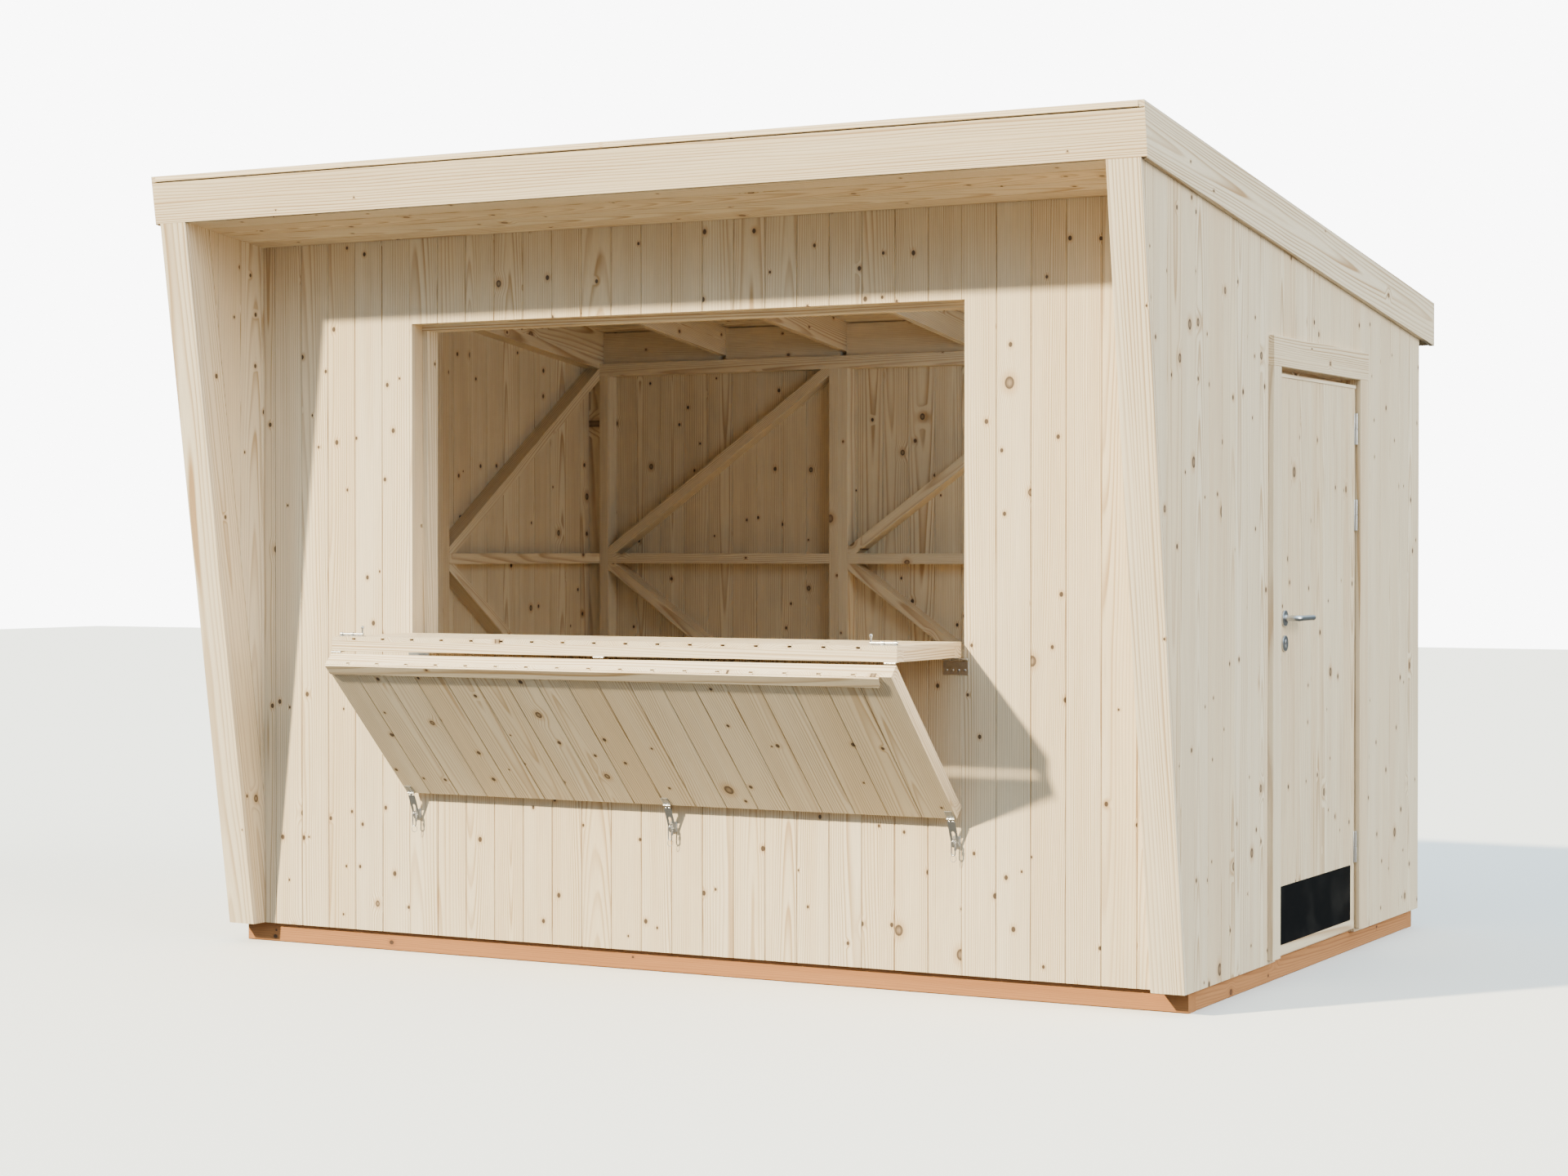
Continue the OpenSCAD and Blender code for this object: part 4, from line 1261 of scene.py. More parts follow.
@dataclass
class Walls:
    """The boarded walls and the frames behind them."""

    shell: Shell
    hatch_half_w: float = 0.992
    sill_z: float = 0.994
    head_z: float = 2.055
    post_t: float = 0.099
    bolt_place: tuple[float, float] = (-1.065, 1.397)
    bolt_room: float = 0.0055
    bolt_depth: float = 0.03
    stop_w: float = 0.020
    side_joint: float = 1.066
    rail_z: float = 1.265
    rear_panels: int = 3
    front_joint: float = 0.1016
    side_board_joint: float = 0.774

    def build(self, finishes: Finishes) -> None:
        """Builds every wall and its frame."""
        self._front_boards(finishes)
        self._front_frame(finishes)
        self._hatch_posts(finishes)
        self._side_boards(finishes)
        self._linings(finishes)
        self._side_frame("left_studs", 121, -1, finishes)
        self._side_frame("right_studs", 122, 1, finishes)
        self._rear(finishes)

    def _front_boards(self, finishes: Finishes) -> None:
        """Boards of the front wall, in one run so that each board lines up over the hatch."""
        s = self.shell
        pile = Pile("front_boards", 111)
        hole = Hole((-self.hatch_half_w, self.hatch_half_w), level(self.sill_z), level(self.head_z))
        axes = upright(0.0, s.frame_front_y, X_AXIS, -Y_AXIS)
        Cladding(axes, (-s.lining_x, s.lining_x), s.board, self.front_joint, [level(s.wall_z)],
                 [s.under_roof(s.soffit_foot)], hole=hole).lay(pile)
        pile.build("stall", finishes.boards, "boards",
                   ["front_wall_left", "front_wall_right", "front_wall_below", "front_wall_above"])

    def _front_frame(self, finishes: Finishes) -> None:
        """Studs, plates and rails behind the front boards."""
        s = self.shell
        pile = Pile("front_studs", 112)
        y0, y1, w = s.frame_front_y, s.room_front_y, s.stud
        roof = s.under_roof(s.rafter_foot)
        top = s.roof_at(y1, s.rafter_foot)
        post = self.hatch_half_w + w
        for side in (-1, 1):
            self._stud(pile, (side * (s.lining_x - w / 2)), y0, y1, level(s.floor_z), roof)
            near, far = sorted((side * post, side * (s.lining_x - w)))
            bar(pile, (near, y0, s.floor_z), (far, y1, s.floor_z + w), 0, 1)
            bar(pile, (near, y0, self.rail_z), (far, y1, self.rail_z + w), 0, 1)
            bar(pile, (near, y0, top - w), (far, y1, top), 0, 1)
        half = self.hatch_half_w
        bar(pile, (-half, y0, s.floor_z), (half, y1, s.floor_z + w), 0, 1)
        bar(pile, (-half, y0, top - w), (half, y1, top), 0, 1)
        bar(pile, (-w / 2, y0, s.floor_z + w), (w / 2, y1, self.sill_z - w), 2, 1)
        for x in (-half / 2, half / 2):
            bar(pile, (x - w / 2, y0, self.head_z + w), (x + w / 2, y1, top - w), 2, 1)
        pile.build("stall", finishes.framing, "framing", ["front_frame"])

    def _stud(self, pile: Pile, x: float, y0: float, y1: float, low: Plane, high: Plane) -> None:
        """Lays one upright stud between two cuts, with its wider face across the wall."""
        w = self.shell.stud
        axes = Axes(np.array([x + w / 2, y0, 0.0]), Z_AXIS, Y_AXIS, -X_AXIS)
        pile.board(axes, (0.0, y1 - y0), w, [low], [high])

    def _hatch_posts(self, finishes: Finishes) -> None:
        """Deep posts, head and sill of the opening, and the battens that the leaves stop on."""
        s = self.shell
        w, half = s.stud, self.hatch_half_w
        y0, y1 = s.frame_front_y, s.frame_front_y + self.post_t
        posts = Pile("hatch_surround", 113)
        for side in (-1, 1):
            self._post(posts, side)
        bar(posts, (-half, y0, self.head_z), (half, y1, self.head_z + w), 0, 2)
        bar(posts, (-half, y0, self.sill_z - w), (half, y1, self.sill_z), 0, 2)
        posts.build("stall", finishes.framing, "framing", ["hatch_posts"])
        stops = Pile("hatch_stop_battens", 114)
        low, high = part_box("hatch_stops")
        for side in (-1, 1):
            near, far = sorted((side * half, side * (half - self.stop_w)))
            bar(stops, (near, low.y, self.sill_z), (far, high.y, self.head_z - self.stop_w), 2, 0)
        bar(stops, (-half, low.y, self.head_z - self.stop_w), (half, high.y, self.head_z), 0, 2)
        stops.build("stall", finishes.trim, "trim", ["hatch_stops"])

    def _post(self, posts: Pile, side: int) -> None:
        """Lays one post of the opening in three lengths, the middle one notched for its bolt.

        Args:
            posts: The pile that it belongs to.
            side: -1 for the left post, 1 for the right one.
        """
        s = self.shell
        w, y0 = s.stud, s.frame_front_y
        middle_x = side * (self.hatch_half_w + w / 2)
        axes = Axes(np.array([middle_x + w / 2, y0, 0.0]), Z_AXIS, Y_AXIS, -X_AXIS)
        source = posts.log(self.post_t, w)
        bolt_y, bolt_z = self.bolt_place
        low, high = bolt_y - y0 - self.bolt_room, bolt_y - y0 + self.bolt_room
        whole = posts.section(self.post_t, w, Edge.SAWN, Edge.SAWN, (low, high))
        inner = w if side > 0 else 0.0
        first, last = (high, low) if side > 0 else (low, high)
        corner = int(np.argmin(np.abs(whole - np.array([first, inner])).sum(axis=1)))
        bed = inner - side * self.bolt_depth
        notched = np.insert(whole, corner + 1, [(first, bed), (last, bed)], axis=0)
        stops = [level(s.floor_z), level(bolt_z - self.bolt_room), level(bolt_z + self.bolt_room),
                 s.under_roof(s.rafter_foot)]
        for shape, foot, head in zip((whole, notched, whole), stops, stops[1:]):
            posts.lay(axes, shape, [foot], [head], source)

    def _side_boards(self, finishes: Finishes) -> None:
        """Boards of both side walls, cut along the slanted front edge and under the roof."""
        s = self.shell
        door_low, door_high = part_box("door_jambs")
        head = door_high.z - s.board
        doorway = (door_low.y + s.board, door_high.y - s.board)
        runs = [("left_boards", 115, -1, None, ["left_wall"]),
                ("right_boards", 116, 1, Hole(doorway, level(s.wall_z), level(head)),
                 ["right_wall_front", "right_wall_rear", "right_wall_over_door"])]
        for name, seed, side, hole, nodes in runs:
            pile = Pile(name, seed)
            axes = upright(side * s.frame_x, 0.0, Y_AXIS, side * X_AXIS)
            low = [level(s.wall_z), s.slant(s.board)]
            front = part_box("left_wall")[0].y
            Cladding(axes, (front, s.rear_y), s.board, self.side_board_joint, low,
                     [s.under_roof(s.board)], hole=hole).lay(pile)
            pile.build("stall", finishes.boards, "boards", nodes)

    def _linings(self, finishes: Finishes) -> None:
        """Boards on the inner faces of the recess.

        The first lies along the slanted edge, and the others stand upright behind it.
        """
        s = self.shell
        pile = Pile("recess_linings", 117)
        trims = Pile("front_edge_boards", 118)
        first = 0.100
        for side in (-1, 1):
            inner = side * s.room_x
            foot = np.array([inner, s.fin_foot_y, s.wall_z]) + s.board * s.front_inward
            slanted = Axes(foot, s.uphill_front, s.front_inward, -side * X_AXIS)
            upper = [s.under_roof(s.rafter_foot)]
            pile.board(slanted, (0.0, first), s.board, [level(s.wall_z)], upper, (Edge.SAWN, Edge.TONGUE))
            front = s.slant(s.board + first)
            axes = upright(inner, s.front_y, Y_AXIS, -side * X_AXIS)
            start = s.fin_top(s.rafter_foot, s.board + first)[1] - s.front_y
            Cladding(axes, (start, s.board), s.board, -0.012, [level(s.wall_z), front], upper).lay(pile)
            near, far = sorted((side * s.lining_x, side * s.half_w))
            edge = Axes(np.array([near, s.fin_foot_y, s.wall_z]) + s.board * s.front_inward,
                        s.uphill_front, X_AXIS, -s.front_inward)
            trims.board(edge, (0.0, far - near), s.board, [level(s.wall_z)],
                        [s.under_roof(s.soffit_foot + s.lap)])
        pile.build("stall", finishes.boards, "boards", ["fin_linings"])
        trims.build("stall", finishes.trim, "trim", ["fin_trims"])

    def _side_frame(self, name: str, seed: int, side: int, finishes: Finishes) -> None:
        """Frame of one side wall: two braced panels, or one round the doorway, and the fin's bay.

        Args:
            name: Name of the piece.
            seed: Seed of its random numbers.
            side: -1 for the left wall and 1 for the right.
            finishes: The stall's finishes.
        """
        s = self.shell
        w = s.stud
        pile = Pile(name, seed)
        joint = s.front_y + self.side_joint
        under = s.under_roof(s.board)
        out = side * X_AXIS
        base = upright(side * s.room_x, 0.0, Y_AXIS, out)
        bays = [(s.room_front_y, joint - w), (joint + w, s.frame_rear_y - w)]
        plate_foot = s.under_roof(s.rafter_foot + w)
        # Sole plate, and the wall plate that fills the height of the rafters
        sole = Axes(np.array([side * s.room_x, 0.0, s.floor_z]), Y_AXIS, Z_AXIS, out)
        pile.board(sole, (0.0, w), s.frame_t, [s.slant(s.board)], [across_y(s.frame_rear_y)])
        for drop, depth in ((s.board, s.rafter_h), (s.rafter_foot, w)):
            beam = s.roof_axes(drop, s.downhill, -s.roof_normal, out)
            beam = Axes(beam.origin + side * s.room_x * X_AXIS, beam.along, beam.across, beam.out)
            pile.board(beam, (0.0, depth), s.frame_t, [s.slant(s.board)], [across_y(s.frame_rear_y)])
        low = level(s.floor_z + w)
        edge_stud = Axes(np.array([side * s.room_x, s.fin_foot_y, s.wall_z]) + s.board * s.front_inward,
                         s.uphill_front, s.front_inward, out)
        pile.board(edge_stud, (0.0, w), s.frame_t, [low], [plate_foot])
        studs = [(s.frame_front_y, bays[0][0]), (bays[0][1], bays[0][1] + w), (bays[0][1] + w, bays[1][0]),
                 (bays[1][1], s.frame_rear_y)]
        if side > 0:
            low_door, high_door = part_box("door_jambs")
            head = high_door.z
            hole = (low_door.y, high_door.y)
            studs = [stud for stud in studs if not hole[0] < sum(stud) / 2 < hole[1]]
            studs += [(hole[0] - w, hole[0]), (hole[1], hole[1] + w)]
            rail = Axes(np.array([side * s.room_x, 0.0, head]), Y_AXIS, Z_AXIS, out)
            pile.board(rail, (0.0, w), s.frame_t, [across_y(bays[0][0])], [across_y(bays[1][1])])
        else:
            for bay in bays:
                self._braces(pile, base, bay, self.rail_z, [s.roof_at(y, s.rafter_foot + w) for y in bay])
        for near, far in studs:
            upper = plate_foot
            if side > 0 and near >= hole[0] - w - 0.001 and far <= hole[1] + w + 0.001:
                upper = level(head)
            pile.board(base, (near, far), s.frame_t, [low], [upper])
        pile.build("stall", finishes.framing, "framing", ["left_frame" if side < 0 else "right_frame"])

    def _braces(self, pile: Pile, base: Axes, bay: tuple[float, float], rail: float, tops: Sequence[float]) -> None:
        """Lays a panel's middle rail and its two braces, which meet at the rail's near end.

        Args:
            pile: Where they go.
            base: Upright axes of the frame.
            bay: Where the bay begins and ends across.
            rail: Height of the rail's lower face.
            tops: Height of the bay's head at both ends.
        """
        s = self.shell
        w, depth = s.stud, s.frame_t
        start, end = bay
        rise = tops[1] - rail - w
        horizontal = Axes(base.origin + rail * Z_AXIS, base.across, Z_AXIS, base.out)
        near = Plane(tuple(base.origin + start * base.across), tuple(base.across))
        far = Plane(tuple(base.origin + end * base.across), tuple(base.across))
        pile.board(horizontal, (0.0, w), depth, [near], [far])
        slope = (tops[1] - tops[0]) / (end - start)
        head_point = base.origin + start * base.across + tops[0] * Z_AXIS
        head = Plane(tuple(head_point), tuple(Z_AXIS - slope * base.across))
        foot = level(s.floor_z + w)
        for begin, direction in ((rail + w, rise), (rail, -rise)):
            along = (end - start) * base.across + direction * Z_AXIS
            along = along / np.linalg.norm(along)
            side = np.cross(base.out, along)
            middle = base.origin + start * base.across + begin * Z_AXIS
            brace = Axes(middle, along, side, base.out)
            rail_cut = level(begin)
            limits = [far, head] if direction > 0 else [far, foot]
            pile.board(brace, (-w / 2, w / 2), depth, [near, rail_cut], limits)

    def _rear(self, finishes: Finishes) -> None:
        """Rear wall: its boards, frame, braces and the blocking between the rafters."""
        s = self.shell
        boards = Pile("rear_boards", 119)
        axes = upright(0.0, s.frame_rear_y, -X_AXIS, Y_AXIS)
        Cladding(axes, (-s.frame_x, s.frame_x), s.board, self.front_joint / 2, [level(s.wall_z)],
                 [s.under_roof(s.rafter_foot)]).lay(boards)
        boards.build("stall", finishes.boards, "boards", ["back_wall"])
        frame_pile = Pile("rear_studs", 120)
        w = s.stud
        top = s.roof_at(s.room_rear_y, s.rafter_foot) - 0.022
        head = top - 0.050
        y0, y1 = s.room_rear_y, s.frame_rear_y
        base = Axes(np.array([0.0, y1, 0.0]), Z_AXIS, X_AXIS, -Y_AXIS)
        bar(frame_pile, (-s.room_x, y0, s.floor_z), (s.room_x, y1, s.floor_z + w), 0, 1)
        bar(frame_pile, (-s.room_x, y0, head), (s.room_x, y1, top), 0, 1)
        pitch = 2 * s.room_x / self.rear_panels
        for i in range(self.rear_panels):
            x = -s.room_x + i * pitch
            for near in (x, x + pitch - w):
                frame_pile.board(base, (near, near + w), s.frame_t, [level(s.floor_z + w)], [level(head)])
            self._braces(frame_pile, base, (x + w, x + pitch - w), self.rail_z, [head, head])
        blocks = self._between_rafters()
        for near, far in blocks:
            block = Axes(np.array([0.0, y1, 0.0]), X_AXIS, Z_AXIS, -Y_AXIS)
            high = s.roof_at(y1, s.board) - 0.0004
            frame_pile.board(block, (top, high), 2 * s.board, [across_x(near)], [across_x(far)])
        frame_pile.build("stall", finishes.framing, "framing", ["back_frame"])

    def _between_rafters(self) -> list[tuple[float, float]]:
        """Gaps between the rafters at the rear wall."""
        s = self.shell
        pitch, half = 2 * s.lining_x / (Roof.rafters + 1), Roof.rafter_w / 2
        middles = [-s.lining_x + i * pitch for i in range(1, Roof.rafters + 1)]
        stops = [-s.room_x, *[edge for x in middles for edge in (x - half, x + half)], s.room_x]
        return list(zip(stops[::2], stops[1::2]))


@dataclass
class Roof:
    """Rafters, roof boards, soffit and fascias."""

    shell: Shell
    rafters: int = 5
    rafter_w: float = 0.028
    seam: float = 0.0003
    shadow_gap: float = 0.0035

    def build(self, finishes: Finishes) -> None:
        """Builds the whole roof."""
        s = self.shell
        front = s.slant(s.board)
        rear = across_y(s.rear_edge_y - s.board)
        rafters = Pile("rafter_boards", 131)
        pitch = 2 * s.lining_x / (self.rafters + 1)
        for i in range(1, self.rafters + 1):
            axes = s.roof_axes(s.board, s.downhill, -s.roof_normal, X_AXIS)
            x = -s.lining_x + i * pitch - self.rafter_w / 2
            axes = Axes(axes.origin + x * X_AXIS, axes.along, axes.across, axes.out)
            rafters.board(axes, (0.0, s.rafter_h), self.rafter_w, [front], [rear])
        rafters.build("stall", finishes.framing, "framing", ["rafters"])
        self._boards(finishes)
        self._soffit(finishes)
        self._fascias(finishes)

    def _boards(self, finishes: Finishes) -> None:
        """Roof boards, side by side down the slope."""
        s = self.shell
        pile = Pile("roof_planks", 132)
        axes = s.roof_axes(s.board, X_AXIS, s.downhill, s.roof_normal)
        first = float((s.fin_top(0.0, 0.0) - axes.origin) @ s.downhill)
        last = float((np.array([0.0, s.rear_edge_y, s.roof_at(s.rear_edge_y, 0.0)]) - axes.origin) @ s.downhill)
        Cladding(axes, (first, last), s.board, first + BOARD_PITCH, [across_x(-s.half_w)],
                 [across_x(s.half_w)]).lay(pile)
        pile.build("stall", finishes.boards, "boards", ["roof_boards"])

    def _soffit(self, finishes: Finishes) -> None:
        """Soffit boards over the recess, with their faces down."""
        s = self.shell
        pile = Pile("soffit_planks", 133, milling=Milling(gap=0.0022, vee=0.0032))
        axes = s.roof_axes(s.rafter_foot, X_AXIS, s.downhill, -s.roof_normal)
        first = float((s.fin_top(s.soffit_foot, s.board) - axes.origin) @ s.downhill) + 0.0006
        Cladding(axes, (first, -self.seam), s.board, -0.075, [across_x(-s.lining_x)],
                 [across_x(s.lining_x)]).lay(pile)
        pile.build("stall", finishes.boards, "boards", ["soffit_boards"])

    def _fascias(self, finishes: Finishes) -> None:
        """Front, side and rear fascia boards, mitred at the front corners."""
        s = self.shell
        outer = s.half_w + s.board
        top = s.fin_top(s.board + self.shadow_gap, 0.0)
        foot = s.fin_top(s.soffit_foot + s.lap, 0.0)
        pile = Pile("front_fascia_board", 134)
        axes = Axes(foot + s.board * s.front_inward, X_AXIS, s.uphill_front, -s.front_inward)
        height = float((top - foot) @ s.uphill_front)
        mitres = [Plane(tuple(foot + side * outer * X_AXIS), tuple(X_AXIS + side * s.front_inward))
                  for side in (-1, 1)]
        pile.board(axes, (0.0, height), s.board, [mitres[0]], [mitres[1]])
        pile.build("stall", finishes.trim, "trim", ["front_fascia"])
        for side, name in ((-1, "left_fascia"), (1, "right_fascia")):
            pile = Pile(f"{name}_board", 135 + side)
            base = s.roof_axes(0.0, s.downhill, -s.roof_normal, side * X_AXIS)
            base = Axes(base.origin + side * s.half_w * X_AXIS, base.along, base.across, base.out)
            mitre = Plane(tuple(foot + side * outer * X_AXIS), tuple(side * X_AXIS + s.front_inward))
            source = pile.log(s.fascia_h, s.board)
            rear = [across_y(s.rear_edge_y)]
            pile.board(base, (0.0, s.board), s.board, [s.slant(0.0)], rear, (Edge.SAWN, Edge.FLUSH), source)
            pile.board(base, (s.board, s.fascia_h), s.board, [s.slant(0.0), mitre], rear,
                       (Edge.FLUSH, Edge.SAWN), source)
            pile.build("stall", finishes.trim, "trim", [name])
        pile = Pile("rear_fascia_board", 138)
        rear = s.rear_edge_y - s.board
        axes = Axes(np.array([0.0, rear, 0.0]), X_AXIS, Z_AXIS, Y_AXIS)
        low = s.roof_at(rear, s.fascia_h)
        high = s.roof_at(s.rear_edge_y, s.board)
        pile.board(axes, (low, high), s.board, [across_x(-s.half_w)], [across_x(s.half_w)])
        pile.build("stall", finishes.trim, "trim", ["back_fascia"])


@dataclass
class Doorway:
    """Lining, casing and the ledged door with its fittings."""

    shell: Shell
    casing_w: float = 0.070
    extra: float = 0.013
    casing_head_w: float = 0.092
    foot_z: float = 0.076
    gap: float = 0.007
    top_gap: float = 0.018
    leaf_frame_t: float = 0.026
    stop_w: float = 0.016
    leaf_gap: float = 0.006
    ledge_w: float = 0.095
    stile_w: float = 0.125
    strip_h: float = 0.011
    rail_h: float = 0.032
    groove: float = 0.0045

    def __post_init__(self) -> None:
        """Reads the doorway from the frame."""
        low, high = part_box("door_jambs")
        board = self.shell.board
        self.y0, self.y1 = low.y + board, high.y - board
        self.head_z = high.z - board
        self.leaf_y0, self.leaf_y1 = self.y0 + self.gap, self.y1 - self.gap
        self.leaf_top = self.head_z - self.top_gap
        self.in_x = self.shell.frame_x - self.leaf_frame_t

    def build(self, finishes: Finishes) -> None:
        """Builds the doorway and the door."""
        self._lining(finishes)
        self._casing(finishes)
        self._leaf(finishes)
        self._ledges(finishes)
        self._hinges(finishes)
        self._furniture(finishes)

    def _lining(self, finishes: Finishes) -> None:
        """Lining boards of the doorway with the stops that the leaf meets."""
        s = self.shell
        pile = Pile("doorway_lining", 141)
        t, head = s.board, self.head_z
        stop_x = self.in_x - self.leaf_gap
        for low, high in (((s.room_x, self.y0 - t, s.floor_z), (s.frame_x, self.y0, head)),
                          ((s.room_x, self.y1, s.floor_z), (s.frame_x, self.y1 + t, head))):
            bar(pile, low, high, 2, 1)
        bar(pile, (s.room_x, self.y0 - t, head), (s.frame_x, self.y1 + t, head + t), 1, 2)
        for low_y, high_y in ((self.y0, self.y0 + self.stop_w), (self.y1 - self.stop_w, self.y1)):
            bar(pile, (s.room_x, low_y, s.floor_z), (stop_x, high_y, self.leaf_top - self.stop_w), 2, 0)
        bar(pile, (s.room_x, self.y0, self.leaf_top - self.stop_w), (stop_x, self.y1, head), 1, 0)
        pile.build("stall", finishes.trim, "trim", ["door_jambs"])

    def _casing(self, finishes: Finishes) -> None:
        """Casing boards round the doorway; the head runs the full width."""
        s = self.shell
        pile = Pile("doorway_casing", 142, milling=Milling(corner=0.0015))
        left, right = self.y0 - self.casing_w, self.y1 + self.casing_w + self.extra
        axes = upright(s.half_w, 0.0, Y_AXIS, X_AXIS)
        pile.board(axes, (left, self.y0), s.board, [level(self.foot_z)], [level(self.head_z)])
        pile.board(axes, (self.y1, right), s.board, [level(self.foot_z)], [level(self.head_z)])
        head = Axes(np.array([s.half_w, 0.0, self.head_z]), Y_AXIS, Z_AXIS, X_AXIS)
        pile.board(head, (0.0, self.casing_head_w), s.board, [across_y(left)], [across_y(right)])
        pile.build("stall", finishes.trim, "trim", ["door_casing"])

    def _leaf(self, finishes: Finishes) -> None:
        """Door boards, each with three fine grooves, and the strip and rail at their ends."""
        s = self.shell
        pile = Pile("door_planks", 143)
        axes = upright(s.frame_x, 0.0, Y_AXIS, X_AXIS)
        low, high = level(self.foot_z + self.rail_h), level(self.leaf_top - self.strip_h)
        width = (self.leaf_y1 - self.leaf_y0) / 7
        for i in range(7):
            start = self.leaf_y0 + i * width
            source = pile.log(width, s.board)
            source = Log(source.start, (source.heart[0] + start, source.heart[1]), source.tilt, source.tone)
            left = Edge.SAWN if i == 0 else Edge.GROOVE
            right = Edge.SAWN if i == 6 else Edge.TONGUE
            outline = pile.section(width, s.board, left, right, (), start)
            outline = self._groove(outline, start, width)
            pile.lay(axes, outline, [low], [high], source)
        pile.build("door", finishes.boards, "boards", ["door_boards"])
        rails = Pile("door_rail_boards", 144)
        bar(rails, (s.frame_x, self.leaf_y0, self.leaf_top - self.strip_h),
            (s.half_w + 0.003, self.leaf_y1, self.leaf_top), 1, 0)
        bar(rails, (s.frame_x, self.leaf_y0, self.foot_z), (s.half_w, self.leaf_y1, self.foot_z + self.rail_h), 1, 0)
        rails.build("door", finishes.trim, "trim", ["door_rails"])
        self._kick_panel(finishes)

    def _groove(self, outline: Array, start: float, width: float) -> Array:
        """Cuts three V grooves into the front of a board's outline."""
        t = self.shell.board
        front = np.flatnonzero((np.abs(outline[:, 1] - t) < 1e-6))
        first = front[np.argmax(outline[front, 0])]
        cuts = []
        for share in (0.75, 0.5, 0.25):
            middle = start + share * width
            half = self.groove / 2
            cuts += [(middle + half, t), (middle, t - half), (middle - half, t)]
        return np.vstack([outline[:first + 1], cuts, outline[first + 1:]])

    def _kick_panel(self, finishes: Finishes) -> None:
        """Black panel over the door's foot, with a fine rim."""
        low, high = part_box("kick_panel")
        panel = Smithy("kick_plate")
        width, height = high.y - low.y, high.z - low.z
        middle = (low.x, (low.y + high.y) / 2, (low.z + high.z) / 2)
        panel.plate(middle, Y_AXIS, Z_AXIS, rounded(width, height, 0.004), 0.0017, 0.0006)
        panel.build("door", finishes.panel, ["kick_panel"], "kick_panel")

    def _ledges(self, finishes: Finishes) -> None:
        """Stiles and ledges behind the boards."""
        s = self.shell
        pile = Pile("door_back_frame", 145)
        z0, z1 = s.floor_z + self.leaf_gap, self.leaf_top
        mid = (z0 + z1) / 2
        axes = upright(s.frame_x, 0.0, Y_AXIS, -X_AXIS)
        for near, far in ((self.leaf_y0, self.leaf_y0 + self.stile_w), (self.leaf_y1 - self.stile_w, self.leaf_y1)):
            pile.board(axes, (near, far), self.leaf_frame_t, [level(z0)], [level(z1)])
        cross = Axes(np.array([s.frame_x, 0.0, 0.0]), Y_AXIS, Z_AXIS, -X_AXIS)
        for low in (z0, mid - self.ledge_w / 2, z1 - self.ledge_w):
            pile.board(cross, (low, low + self.ledge_w), self.leaf_frame_t,
                       [across_y(self.leaf_y0 + self.stile_w)], [across_y(self.leaf_y1 - self.stile_w)])
        pile.build("door", finishes.framing, "framing", ["door_ledges"])

    def _hinges(self, finishes: Finishes) -> None:
        """Butt hinges: a knuckle in segments with a washer in the middle, and a leaf."""
        s = self.shell
        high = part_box("door_hinges")[1]
        radius = (high.x - s.half_w) / 2
        axis = (s.half_w + radius, high.y - radius)
        hinges = Smithy("door_butt_hinges")
        height = 0.102
        for z in (self.foot_z + 0.218, self.leaf_top - 0.476, self.leaf_top - 0.194):
            for near, far in ((0.0, 0.0505), (0.0515, 0.102)):
                r = radius
                hinges.turned((*axis, z + near), Z_AXIS, [
                    (0.0, r * 0.82), (0.0012, r), (far - near - 0.0012, r), (far - near, r * 0.82)])
            hinges.turned((*axis, z + 0.0502), Z_AXIS, [(0.0, r * 0.55), (0.0016, r * 0.55)], 12)
            leaf = rounded(0.008, height, 0.001, 3, (-0.004, height / 2))
            hinges.plate((s.half_w, axis[1], z), Y_AXIS, Z_AXIS, leaf, 0.002)
        hinges.build("door", finishes.zinc, ["door_hinges"])

    def _furniture(self, finishes: Finishes) -> None:
        """Lever on its round roses, and the key roses with the cylinder lock's ends, whose keyways are painted shade.
        """
        s = self.shell
        handle_y, handle_z, drop = self.leaf_y0 + 0.070, 1.109, 0.077
        roses = Smithy("door_rose_set")
        dome = [(0.0, 0.0245), (0.0008, 0.025), (0.0052, 0.025), (0.0066, 0.0242), (0.0070, 0.0225),
                (0.0070, 0.0105)]
        for x, out in ((s.half_w, X_AXIS), (self.in_x, -X_AXIS)):
            roses.turned((x, handle_y, handle_z), out, dome, 48)
            roses.turned((x, handle_y, handle_z - drop), out, dome, 48)
        roses.build("door", finishes.zinc, ["door_roses"])
        keys = Smithy("door_lock_cylinder")
        for x, out in ((s.half_w + 0.0069, X_AXIS), (self.in_x - 0.0069, -X_AXIS)):
            keys.turned((x, handle_y, handle_z - drop + 0.004), out, [
                (0.0, 0.0085), (0.0016, 0.0085), (0.0020, 0.008), (0.0020, 0.0015)], 28)
            side = out[0]
            keys.plate((x, handle_y, handle_z - drop - 0.004), side * Y_AXIS, Z_AXIS,
                       rounded(0.010, 0.020, 0.0049, 6, (0.0, -0.003)), 0.0018)
        keys.build("door", finishes.dull_zinc)
        # Painted shade: thin black plates on both cylinder ends stand for the dark inside of the keyways
        keyhole_shades = Smithy("door_keyhole_shades")
        for x, out in ((s.half_w + 0.0087, X_AXIS), (self.in_x - 0.0087, -X_AXIS)):
            keyhole_shades.plate((x, handle_y, handle_z - drop + 0.004), out[0] * Y_AXIS, Z_AXIS,
                        rounded(0.0016, 0.009, 0.0006, 3), 0.0004, 0.0001)
        keyhole_shades.build("door", finishes.panel)
        lever = Smithy("door_lever_handle")
        r, reach, length = 0.009, 0.048, 0.140
        for x, sign in ((s.half_w, 1.0), (self.in_x, -1.0)):
            bend = 0.016
            turn = np.linspace(0.0, math.pi / 2, 9)
            curve = np.column_stack([np.sin(turn) * bend, bend - np.cos(turn) * bend])
            stem = np.array([[-0.004, 0.0], [0.004, 0.0], [reach - bend - 0.004, 0.0]])
            arm = np.array([[reach, y] for y in np.linspace(bend + 0.01, length - 0.004, 6)])
            flat = np.vstack([stem, curve + np.array([reach - bend, 0.0]), arm])
